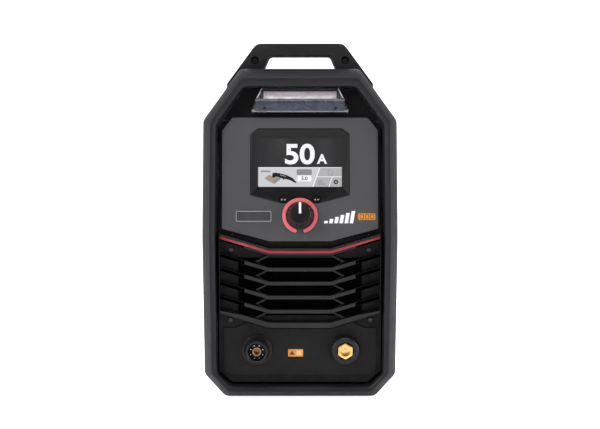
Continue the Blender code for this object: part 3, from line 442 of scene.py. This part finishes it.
def flat(name, loops, thickness, face, depth, material, body="root", edge=0.0):
    """A flat piece whose front is at that depth behind the face."""
    curve = bpy.data.curves.new(name, "CURVE")
    curve.dimensions = "2D"
    curve.fill_mode = "BOTH"
    curve.extrude = thickness / 2 - edge
    curve.bevel_depth = edge
    curve.bevel_resolution = 1
    curve.offset = -edge
    for loop in loops:
        spline = curve.splines.new("POLY")
        spline.points.add(len(loop) - 1)
        for point, (x, z) in zip(spline.points, loop):
            point.co = (x, z, 0, 1)
        spline.use_cyclic_u = True
    place = face.matrix @ Matrix.Translation((0, depth + thickness / 2, 0))
    return add_piece(name, curve_mesh(name, curve, place), material, body)


def words(name, text, height, face, x, z, depth, material, body="root", bold=0.0, stretch=1.0):
    """Generic figures or a unit letter, as a thin raised mesh."""
    curve = bpy.data.curves.new(name, "FONT")
    curve.body = text
    curve.size = height / 0.69
    curve.extrude = 0.0001
    curve.offset = bold
    curve.align_x = "CENTER"
    place = face.matrix @ Matrix.Translation((x, depth, z)) @ Matrix.Diagonal((stretch, 1, 1, 1))
    return add_piece(name, curve_mesh(name, curve, place), material, body)


def skin(name, loops, matrix, material, body="root"):
    bm = bmesh.new()
    rows = [[bm.verts.new(point) for point in loop] for loop in loops]
    count = len(loops[0])
    for here, there in zip(rows, rows[1:]):
        for j in range(count):
            k = (j + 1) % count
            bm.faces.new((here[j], here[k], there[k], there[j]))
    bm.faces.new(rows[0])
    bm.faces.new(rows[-1])
    return add_piece(name, mesh_of(name, bm, matrix), material, body)


def turned(name, profile, matrix, material, body="root", steps=48):
    """A turned piece whose (radius, out) points run out along the face's normal."""
    loops = []
    for radius, out in profile:
        turns = [2 * math.pi * i / steps for i in range(steps)]
        loops.append([(radius * math.cos(turn), -out, radius * math.sin(turn)) for turn in turns])
    return skin(name, loops, matrix, material, body)


def at(face, x, depth, z):
    return face.matrix @ Matrix.Translation((x, depth, z))


def box_loop(left, bottom, right, top, radius=0.0, steps=4):
    if radius == 0:
        return [(left, bottom), (right, bottom), (right, top), (left, top)]
    corners = ((right - radius, bottom + radius, -90), (right - radius, top - radius, 0),
               (left + radius, top - radius, 90), (left + radius, bottom + radius, 180))
    loop = []
    for x, z, start in corners:
        for i in range(steps + 1):
            turn = math.radians(start + 90 * i / steps)
            loop.append((x + radius * math.cos(turn), z + radius * math.sin(turn)))
    return loop


def box_mm(left, bottom, right, top, radius=0.0, steps=4):
    """A box's outline, given in millimetres."""
    return box_loop(left * MM, bottom * MM, right * MM, top * MM, radius * MM, steps)


def profile_mm(*points):
    """A turned piece's profile, given in millimetres."""
    return [(radius * MM, out * MM) for radius, out in points]


def ring_loop(x, z, radius, steps=32):
    turns = [2 * math.pi * i / steps for i in range(steps)]
    return [(x + radius * math.cos(turn), z + radius * math.sin(turn)) for turn in turns]


def dress(node, material, width):
    """Gives a CAD node its finish, with its facets smoothed and its sharp edges eased."""
    thing = NODES[node]
    mesh = thing.data
    if "custom_normal" in mesh.attributes:
        mesh.attributes.remove(mesh.attributes["custom_normal"])
    mesh.materials.clear()
    mesh.materials.append(material)
    mesh.shade_smooth()
    weld = thing.modifiers.new("weld", "WELD")
    weld.merge_threshold = 0.00001
    if width:
        ease = thing.modifiers.new("ease", "BEVEL")
        ease.width = width
        ease.segments = 2
        ease.limit_method = "ANGLE"
        ease.angle_limit = math.radians(32)
        ease.harden_normals = True


# ---------------------------------------------------------------- CAD nodes that keep their shape

def dress_cad():
    finishes = (
        (frame_plastic, 0.0006, ("front_frame", "rear_frame")),
        (handle_plastic, 0.0006, ("front_handle", "rear_handle")),
        (panel_plastic, 0.0004, ("control_panel",)),
        (bezel_plastic, 0.0004, ("display_bezel",)),
        (dark_plastic, 0.0003, ("storage_tray", "upper_carrier", "lower_carrier", "encoder_body",
                                "fan_housing", "fan_rotor", "torch_pin_carrier", "fan_guard")),
        (knob_plastic, 0.0004, ("switch_handle", "switch_body", "gland_body", "gland_nut")),
        (connector_plastic, 0.0004, ("connector_panel",)),
        (grille_plastic, 0.0005, ("louvre_grille",)),
        (socket_plastic, 0.0003, ("torch_socket_shell", "work_socket_shell")),
        (case_paint, 0.0004, ("casing_cover", "rear_panel")),
        (rubber, 0.0003, tuple(f"rubber_pad_{i}" for i in range(1, 5))),
        (zinc, 0.0002, ("lid_hinge_pin", "encoder_shaft")),
        (dull_steel, 0.0002, ("base_tray", "inner_shelf")),
        (black_zinc, 0.0002, tuple(f"grille_screw_{i}" for i in range(1, 5))
         + ("front_handle_screw_left", "front_handle_screw_right", "rear_handle_screw_left",
            "rear_handle_screw_right")),
        (brass, 0.0003, ("work_socket_insert", "air_inlet", "air_valve")),
        (copper, 0.0003, ("torch_contact", "transformer_coil", "output_choke")),
        (black_anodised, 0.0003, ("heatsink",)),
        (board_resin, 0.0, ("control_board", "power_board")),
        (ferrite, 0.0004, ("transformer_core",)),
        (sleeve, 0.0003, ("capacitor_left", "capacitor_right")),
        (clear_cover, 0.0004, ("storage_lid",)),
        (clear_bowl, 0.0004, ("filter_bowl",)),
        (paper, 0.0, ("chart_card",)),
        (ring_light, 0.0, ("light_ring",)),
    )
    for maker, width, nodes in finishes:
        for node in nodes:
            dress(node, finish_of(maker), width)
    dress("accent_stripe", finish_of(printed, "red_line", (0.30, 0.012, 0.022)), 0.0)
    dress("display_module", finish_of(lit, "screen_dark", (0.034, 0.034, 0.036)), 0.0)


# ---------------------------------------------------------------- the display's picture

def make_screen():
    low, high = UPPER.span("display_module")
    middle_x = (low.x + high.x) / 2
    middle_z = (low.z + high.z) / 2
    white = finish_of(lit, "screen_white", (0.90, 0.90, 0.92))
    pale = finish_of(lit, "screen_pale", (0.60, 0.60, 0.61))
    cell = finish_of(lit, "screen_cell", (0.43, 0.43, 0.44))
    mid = finish_of(lit, "screen_mid", (0.26, 0.26, 0.27))
    ink = finish_of(lit, "screen_ink", (0.020, 0.020, 0.022))
    tan = finish_of(lit, "screen_tan", (0.38, 0.28, 0.22))
    layer = [low.y - 0.00005]

    def area(name, loop, material):
        layer[0] -= 0.00006
        flat("screen_" + name, [[(middle_x + x * MM, middle_z + z * MM) for x, z in loop]], 0.00005,
             UPPER, layer[0], material)

    area("bar", box_loop(-54.3, -32.4, 54.3, -6.9), pale)
    area("bar_edge", box_loop(-54.3, -7.5, 54.3, -6.8), white)
    area("cells", [(25.0, -7.6), (54.3, -7.6), (54.3, -32.4), (16.0, -32.4)], cell)
    area("cell_line", box_loop(21.0, -19.7, 54.3, -18.9), white)
    area("cell_split", [(41.4, -19.4), (42.3, -19.4), (37.9, -32.4), (37.0, -32.4)], white)
    area("divider", [(25.2, -7.3), (26.6, -7.3), (17.3, -32.4), (15.9, -32.4)], white)
    area("tag", box_loop(-51.0, -13.2, -38.5, -11.2, 0.8), mid)
    area("plate_grey", [(-40.0, -25.2), (-31.0, -19.6), (-24.4, -21.6), (-33.0, -28.6)], mid)
    area("plate_tan", [(-46.3, -21.8), (-40.0, -16.6), (-29.8, -21.4), (-36.2, -27.4)], tan)
    torch = [(-35.6, -14.6), (-33.0, -13.9), (-27.1, -14.6), (-17.5, -17.0), (-9.7, -20.9), (-4.0, -27.2),
             (-6.0, -27.4), (-12.4, -24.0), (-19.8, -22.0), (-21.2, -23.4), (-22.8, -21.6), (-27.1, -20.4),
             (-31.0, -19.2), (-33.4, -20.6), (-36.4, -19.8)]
    area("torch", torch, ink)
    area("torch_grip", [(-25.6, -16.2), (-18.0, -18.4), (-18.6, -19.4), (-26.0, -17.4)], mid)
    area("value_head", box_loop(-4.2, -17.2, 15.4, -9.6, 1.2), mid)
    area("value_box", box_loop(-3.6, -25.4, 15.0, -17.6, 0.8), white)
    sheet = [(36.4, -17.4), (42.2, -17.4), (42.2, -11.8), (40.4, -10.2), (36.4, -10.2)]
    area("sheet", sheet, mid)
    area("sheet_face", [(x * 0.84 + 6.3, z * 0.84 - 2.2) for x, z in sheet], cell)
    for i in range(3):
        area(f"line_{i}", box_loop(23.4, -29.6 + i * 2.4, 32.6 - i * 2.0, -28.5 + i * 2.4), mid)
    gear = []
    for i in range(32):
        radius = 3.3 if i % 4 < 2 else 2.4
        turn = 2 * math.pi * i / 32
        gear.append((46.6 + radius * math.cos(turn), -26.2 + radius * math.sin(turn)))
    area("gear", gear, ink)
    area("gear_hole", ring_loop(46.6, -26.2, 1.1, 16), cell)
    front = layer[0] - 0.0002
    words("screen_amps", "50", 25.0 * MM, UPPER, middle_x - 0.6 * MM, middle_z - 2.0 * MM, front, white,
          bold=0.0009, stretch=1.10)
    words("screen_unit", "A", 12.0 * MM, UPPER, middle_x + 28.6 * MM, middle_z - 2.0 * MM, front, white,
          bold=0.0005)
    words("screen_pressure", "5.0", 4.6 * MM, UPPER, middle_x + 5.7 * MM, middle_z - 23.8 * MM, front, ink,
          bold=0.0001)


# ---------------------------------------------------------------- knob

FLUTES = 14


def fluted_loop(radius, flute, out, steps=168):
    loop = []
    for i in range(steps):
        turn = 2 * math.pi * i / steps
        share = (0.5 + 0.5 * math.cos(turn * FLUTES)) ** 1.5
        reach = radius - flute * share
        loop.append((reach * math.cos(turn), -out, reach * math.sin(turn)))
    return loop


def make_knob():
    low, high = UPPER.span("control_knob")
    skirt = (high.x - low.x) / 2 / MM
    height = (high.y - low.y) / MM
    top = skirt * 0.835
    base = UPPER.matrix @ Matrix.Translation((0, high.y, 0))
    sections = ((skirt - 0.6, 0, 0), (skirt, 0, 0.5), (skirt, 0, 2.6), (skirt - 0.3, 0, 3.2),
                (skirt - 0.9, 0.2, 3.7), (skirt - 1.1, 1.3, 5.0), (top + 1.2, 1.5, height * 0.60),
                (top + 0.6, 1.4, height - 2.4), (top + 0.2, 1.0, height - 1.3),
                (top - 0.5, 0.5, height - 0.5), (top - 1.4, 0.1, height - 0.1),
                (top - 2.4, 0, height), (top - 3.2, 0, height - 0.25),
                (top * 0.45, 0, height - 0.40), (top * 0.10, 0, height - 0.45))
    loops = [fluted_loop(radius * MM, flute * MM, out * MM) for radius, flute, out in sections]
    knob = skin("knob_cap", loops, base, finish_of(knob_plastic), "knob")
    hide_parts("control_knob")
    half = 1.45
    lift = 0.28
    back = 0.7
    path = ((0.4, height - 0.05), (top - 2.6, height + 0.05), (top - 0.9, height - 0.15),
            (top + 0.35, height - 1.4), (skirt - 0.75, 3.9))
    loops = []
    for reach, out in path:
        corners = ((-half, -(out + lift), reach), (half, -(out + lift), reach),
                   (half, -(out - back), reach - 0.3), (-half, -(out - back), reach - 0.3))
        loops.append([(x * MM, y * MM, z * MM) for x, y, z in corners])
    pointer = skin("knob_mark", loops, base, finish_of(printed, "white_inlay", (0.92, 0.92, 0.92)), "knob")
    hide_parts("knob_pointer")


def make_louvre_shade_pad():
    """A dark sheet of painted shade that closes the air window behind the louvres."""
    carrier = LOWER.span("lower_carrier")[1]
    low, high = LOWER.span("louvre_grille")
    flat("louvre_shade_pad", [box_loop(-84 * MM, low.z + 6 * MM, 84 * MM, high.z - 4 * MM, 3 * MM)], 0.0030, LOWER,
         carrier.y + 0.3 * MM, finish_of(shade_pad_finish))


# ---------------------------------------------------------------- marks on the panel

def make_badge(front):
    """A framed plate with nothing on it."""
    flat("blank_badge_rim", [box_mm(-83, -8, -37, 6, 2)], 0.0004, UPPER, front - 0.0003,
         finish_of(printed, "badge_edge", (0.32, 0.32, 0.33)))
    flat("blank_badge", [box_mm(-82, -7, -38, 5, 1.4)], 0.0003, UPPER, front - 0.0005,
         finish_of(printed, "badge_face", (0.045, 0.045, 0.047)))


def make_range_bars(front):
    """Rising bars, leaning to the right."""
    white = finish_of(printed, "panel_white", (0.90, 0.90, 0.90))
    foot = -10
    for i in range(6):
        left = 31 + i * 6.6
        right = left + 4.6
        tall = 3.0 + i * 2.6
        lean = tall * 0.18
        corners = ((left, foot), (right, foot), (right + lean, foot + tall), (left + lean, foot + tall))
        flat(f"range_bar_{i}", [[(x * MM, z * MM) for x, z in corners]], PRINT, UPPER, front, white)


def make_panel_label(front):
    flat("panel_label", [box_mm(75, -5.5, 97.5, 2.8, 1)], PRINT, UPPER, front,
         finish_of(printed, "orange_film", ORANGE))
    ink = finish_of(printed, "label_ink", LABEL_INK)
    for i in range(3):
        x = 77.2 + i * 6.8
        cell = [box_mm(x, -4.3, x + 5.2, 1.6, 0.8), box_mm(x + 0.7, -3.6, x + 4.5, 0.9, 0.5)]
        flat(f"panel_label_cell_{i}", cell, PRINT, UPPER, front - PRINT_STEP, ink)


def make_indicators():
    """Two small lenses in the bezel on each side of the knob."""
    bezel_front = UPPER.span("display_bezel")[0].y
    lens = finish_of(printed, "indicator_lens", (0.45, 0.45, 0.46))
    dome = profile_mm((1.0, 0.0), (1.0, 0.5), (0.7, 0.8), (0.2, 0.95))
    for side in (-1, 1):
        for i in range(2):
            place = at(UPPER, side * (19.6 + i * 4.0) * MM, bezel_front + 2.7 * MM, 21.0 * MM)
            turned(f"indicator_{side + 1}_{i}", dome, place, lens, steps=20)


def make_panel_marks():
    front = UPPER.span("control_panel")[0].y - PRINT_LIFT
    make_badge(front)
    make_range_bars(front)
    make_panel_label(front)
    make_indicators()


def make_connector_marks():
    front = LOWER.span("connector_panel")[0].y - PRINT_LIFT
    low, high = LOWER.span("work_socket_shell")
    z = (low.z + high.z) / 2 / MM - 4.5
    flat("connector_label", [box_mm(-15.4, z - 4.8, 4.0, z + 4.8, 0.8)], PRINT, LOWER, front,
         finish_of(printed, "orange_film", ORANGE))
    triangle = [(x * MM, (z + up) * MM) for x, up in ((-13.6, -2.6), (-7.0, -2.6), (-10.3, 2.8))]
    flat("connector_label_shape", [triangle], PRINT, LOWER, front - PRINT_STEP,
         finish_of(printed, "label_ink", LABEL_INK))
    flat("connector_label_tab", [box_mm(-4.6, z - 3.0, 2.4, z + 3.0, 0.6)], PRINT, LOWER, front - PRINT_STEP,
         finish_of(printed, "label_pale", (0.75, 0.50, 0.22)))


# ---------------------------------------------------------------- sockets

def make_socket_details():
    """A ring of contact pins round the torch socket's middle."""
    low, high = LOWER.span("torch_pin_carrier")
    x = (low.x + high.x) / 2
    z = (low.z + high.z) / 2
    ring = 8.7 * MM
    pin = profile_mm((1.0, 0.0), (1.0, 3.0), (0.8, 3.5), (0.3, 3.8))
    count = 8
    for i in range(count):
        turn = 2 * math.pi * (i + 0.5) / count
        place = at(LOWER, x + ring * math.cos(turn), low.y + 0.3 * MM, z + ring * math.sin(turn))
        turned(f"torch_pin_{i}", pin, place, finish_of(silver_pin), steps=16)


# ---------------------------------------------------------------- chart in the cover

def make_chart():
    """A consumables chart: plain cells and rules, with no words."""
    low, high = UPPER.span("chart_card")
    slope = math.atan2(high.y - low.y, high.z - low.z)
    face = Face((0, 0, 0), 0)
    face.matrix = UPPER.matrix @ Matrix.Translation((low + high) / 2) @ Matrix.Rotation(-slope, 4, "X")
    front = -0.6 * MM
    pale = finish_of(glowing_chart_print, "chart_pale", (0.92, 0.86, 0.90))
    rose = finish_of(glowing_chart_print, "chart_rose", (0.84, 0.70, 0.76))
    line = finish_of(printed, "chart_rule", (0.25, 0.22, 0.25))
    columns = (-44.5, -33.0, -1.5, 7.5, 44.5)
    for row in range(2):
        bottom = -5.4 + row * 5.6
        for i, (left, right) in enumerate(zip(columns, columns[1:])):
            flat(f"chart_cell_{row}_{i}", [box_mm(left + 0.5, bottom, right - 0.5, bottom + 4.8)], PRINT / 2,
                 face, front, rose if (row + i) % 3 == 1 else pale, "storage_lid")
    for i, z in enumerate((-0.4, -5.8, 5.3)):
        flat(f"chart_rule_{i}", [box_mm(-45, z - 0.15, 45, z + 0.15)], PRINT / 2, face,
             front - PRINT_STEP, line, "storage_lid")


def make_cover_films(low, high, bend):
    """A painted highlight along the bend, a frosted band, a painted highlight line along the foot, and a
    front that is partly tinted and partly painted dark reflection.
    """
    foot = low.z / MM
    half = high.x / MM
    depth = low.y - 0.25 * MM
    # The bright film at the bend and the line along the foot are painted highlights.
    films = (("cover_bend_highlight", box_mm(-41.8, bend - 0.9, 41.8, bend + 1.6, 0.6), ("cover_edge", *EDGE_HIGHLIGHT)),
             ("cover_band", box_mm(5.5 - half, bend - 4.2, half - 5.5, bend - 1.2, 0.8),
              ("cover_band", (0.16, 0.16, 0.17), 0.70)),
             ("cover_foot_highlight", box_mm(2.0 - half, foot + 0.6, half - 2.0, foot + 1.4, 0.3),
              ("cover_line", (0.30, 0.30, 0.32), 0.8)))
    for name, loop, film in films:
        flat(name, [loop], PRINT, UPPER, depth, finish_of(cover_film, *film), "storage_lid")
    # The dark front film is partly the cover's smoke tint and partly a painted dark reflection.
    corners = ((5.0 - half, foot + 2.0), (half - 5.0, foot + 2.0),
               (half - 9.5, bend - 1.0), (9.5 - half, bend - 1.0))
    flat("cover_tint", [[(x * MM, z * MM) for x, z in corners]], 0.3 * MM, UPPER, low.y + 2.4 * MM,
         finish_of(cover_film, "cover_tint", (0.045, 0.055, 0.085), 0.80), "storage_lid")


def make_cover_details():
    """The clear cover's films, painted highlights along its two side edges, and its pivots."""
    low, high = UPPER.span("storage_lid")
    bend = low.z + 0.553 * (high.z - low.z)
    make_cover_films(low, high, bend / MM)
    wide = 1.5 * MM
    top_half = high.x - 13.2 * MM
    bend_half = high.x - 7.3 * MM
    for side in (-1, 1):
        loops = []
        for x, y, z in ((side * bend_half, low.y, bend), (side * top_half, low.y + 11.5 * MM, high.z)):
            front = y - 0.3 * MM
            back = y + 0.2 * MM
            inner = x - side * wide
            loops.append([(x, front, z), (inner, front, z), (inner, back, z), (x, back, z)])
        # Each side edge strip is a painted highlight.
        skin(f"cover_edge_{side + 1}", loops, UPPER.matrix, finish_of(cover_film, "cover_edge", *EDGE_HIGHLIGHT),
             "storage_lid")
        dot = profile_mm((1.5, 0.0), (1.5, 0.25), (1.0, 0.35), (0.2, 0.35))
        turned(f"cover_pivot_{side + 1}", dot, at(UPPER, side * 46 * MM, low.y, low.z + 5.0 * MM),
               finish_of(dark_plastic), "storage_lid", 20)


# ---------------------------------------------------------------- casing and rear details

def make_screw(name, face, x, depth, z, radius=3.4 * MM):
    head = [(radius, 0.0), (radius, 0.7 * MM), (radius * 0.86, 1.5 * MM), (radius * 0.62, 1.9 * MM),
            (radius * 0.40, 2.0 * MM), (radius * 0.36, 1.2 * MM), (radius * 0.1, 1.1 * MM)]
    return turned(name, head, at(face, x, depth, z), finish_of(black_zinc), steps=24)


def face_turned(angle):
    """A face through the origin, turned about the vertical."""
    face = Face((0, 0, 0), 0)
    face.matrix = Matrix.Rotation(angle, 4, "Z")
    return face


def make_case_details():
    """Screws along each side's foot, and two pressed ribs."""
    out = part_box("casing_cover")[1].x
    for side, label in ((-1, "left"), (1, "right")):
        face = face_turned(side * math.pi / 2)
        for i in range(3):
            across = (-0.135 + i * 0.135) * side
            make_screw(f"case_screw_{label}_{i}", face, across, -(out - 0.1 * MM), 0.058)
        for i in range(2):
            z = 150 + i * 130
            flat(f"case_rib_{label}_{i}", [box_mm(-120, z - 9, 120, z + 9, 8.9, 8)], 3 * MM, face,
                 -(out + 0.9 * MM), finish_of(case_paint), edge=1.2 * MM)


def make_rear_details():
    """The rear panel's screws and blank plate, the fan's screws and the mains switch's figures."""
    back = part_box("rear_panel")[1].y
    face = face_turned(math.pi)
    rows = (0.060, 0.320, 0.190)
    places = [(x, z) for z in rows for x in (-0.088, 0.088)]
    for i, (x, z) in enumerate(places):
        make_screw(f"rear_screw_{i}", face, x, -back, z)
    guard_low, guard_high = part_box("fan_guard")
    middle_z = (guard_low.z + guard_high.z) / 2
    ring = 74 * MM
    for i in range(4):
        turn = math.pi / 4 + i * math.pi / 2
        make_screw(f"fan_screw_{i}", face, ring * math.cos(turn), -back, middle_z + ring * math.sin(turn))
    flat("blank_plate", [box_mm(-30, 48, 30, 80, 2)], 0.4 * MM, face, -back - 0.4 * MM,
         finish_of(printed, "blank_foil", (0.35, 0.35, 0.36)))
    low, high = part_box("switch_body")
    x = -(low.x + high.x) / 2
    z = (low.z + high.z) / 2 - 2 * MM
    reach = 20.5 * MM
    white = finish_of(printed, "switch_white", (0.7, 0.7, 0.7))
    for text, turn in (("0", math.pi / 2), ("1", 0)):
        words(f"switch_{text}", text, 4 * MM, face, x + reach * math.cos(turn), z + reach * math.sin(turn),
              -high.y - PRINT, white)


# ---------------------------------------------------------------- room, light and camera

FLOOR_FRONT = -6.0
FLOOR_BACK = 2.2
FLOOR_HALF = 7.0
WALL_TOP = 6.0
COVE = 1.6
COVE_STEPS = 12


def make_room():
    """A pale floor that curves up into a wall. The camera sees it white; it lights the unit less."""
    profile = [(FLOOR_FRONT, 0.0), (FLOOR_BACK, 0.0)]
    for i in range(1, COVE_STEPS + 1):
        turn = math.pi / 2 * i / COVE_STEPS
        profile.append((FLOOR_BACK + COVE * math.sin(turn), COVE * (1 - math.cos(turn))))
    profile.append((FLOOR_BACK + COVE, WALL_TOP))
    bm = bmesh.new()
    rows = [[bm.verts.new((x, y, z)) for y, z in profile] for x in (-FLOOR_HALF, FLOOR_HALF)]
    for i in range(len(profile) - 1):
        bm.faces.new((rows[0][i], rows[0][i + 1], rows[1][i + 1], rows[1][i]))
    mesh = bpy.data.meshes.new("floor")
    bm.to_mesh(mesh)
    bm.free()
    mesh.shade_smooth()
    floor = bpy.data.objects.new("floor", mesh)
    bpy.context.scene.collection.objects.link(floor)
    paint = Shader("floor_paint", (0.93, 0.93, 0.93), 0.7).mottle(0.01, 2).glow((1, 1, 1), 0.90)
    seen = paint.node("ShaderNodeLightPath").outputs["Is Camera Ray"]
    paint.link(paint.ranged(seen, 0.45, 0.90, 0, 1), paint.main.inputs["Emission Strength"])
    mesh.materials.append(paint.material)


def area_light(name, place, target, size, power, color=(1, 1, 1)):
    data = bpy.data.lights.new(name, "AREA")
    data.shape = "RECTANGLE"
    data.size = size[0]
    data.size_y = size[1]
    data.energy = power
    data.color = color
    lamp = bpy.data.objects.new(name, data)
    bpy.context.scene.collection.objects.link(lamp)
    lamp.location = place
    lamp.rotation_euler = (Vector(target) - Vector(place)).to_track_quat("-Z", "Y").to_euler()


def make_light():
    """A white surround that the camera sees, which lights the unit only softly, and soft boxes."""
    world = bpy.data.worlds.new("studio")
    bpy.context.scene.world = world
    world.use_nodes = True
    nodes = world.node_tree.nodes
    seen = nodes.new("ShaderNodeLightPath").outputs["Is Camera Ray"]
    level = nodes.new("ShaderNodeMapRange")
    level.inputs["To Min"].default_value = 0.24
    level.inputs["To Max"].default_value = 1.0
    world.node_tree.links.new(seen, level.inputs["Value"])
    background = nodes["Background"]
    background.inputs["Color"].default_value = (1, 1, 1, 1)
    world.node_tree.links.new(level.outputs["Result"], background.inputs["Strength"])
    cool = (0.93, 0.94, 1.0)
    area_light("key", (-1.7, -1.5, 1.7), (0, -0.2, 0.26), (0.9, 1.3), 30)
    area_light("fill", (1.9, -1.3, 0.9), (0, -0.2, 0.22), (0.8, 1.3), 14, (0.95, 0.96, 1.0))
    area_light("left_strip", (-1.3, -0.35, 0.35), (0, -0.2, 0.2), (0.5, 1.2), 9, cool)
    area_light("right_strip", (1.3, -0.35, 0.35), (0, -0.2, 0.2), (0.5, 1.2), 9, cool)
    area_light("top", (0.0, -0.5, 2.2), (0, 0.0, 0.2), (1.6, 1.0), 16)
    area_light("back", (0.0, 2.0, 1.8), (0, 0.2, 0.3), (2.0, 1.2), 18)


CAMERA_DISTANCE = 2.41
CAMERA_HEIGHT = 0.2381
METRES_PER_PIXEL = 0.001296
IMAGE_WIDTH = 600
SENSOR_MM = 36
SCALE_PLANE = 0.030  # how far behind the unit's front the scale is set


def make_camera():
    data = bpy.data.cameras.new("camera")
    data.sensor_width = SENSOR_MM
    data.lens = SENSOR_MM * CAMERA_DISTANCE / (IMAGE_WIDTH * METRES_PER_PIXEL)
    camera = bpy.data.objects.new("camera", data)
    bpy.context.scene.collection.objects.link(camera)
    camera.location = (0, cad_low.y + SCALE_PLANE - CAMERA_DISTANCE, CAMERA_HEIGHT)
    camera.rotation_euler = (math.pi / 2, 0, 0)
    bpy.context.scene.camera = camera
    bpy.context.scene.view_settings.view_transform = "Standard"


dress_cad()
make_screen()
make_knob()
make_louvre_shade_pad()
make_panel_marks()
make_connector_marks()
make_socket_details()
make_chart()
make_cover_details()
make_case_details()
make_rear_details()
make_room()
make_light()
make_camera()
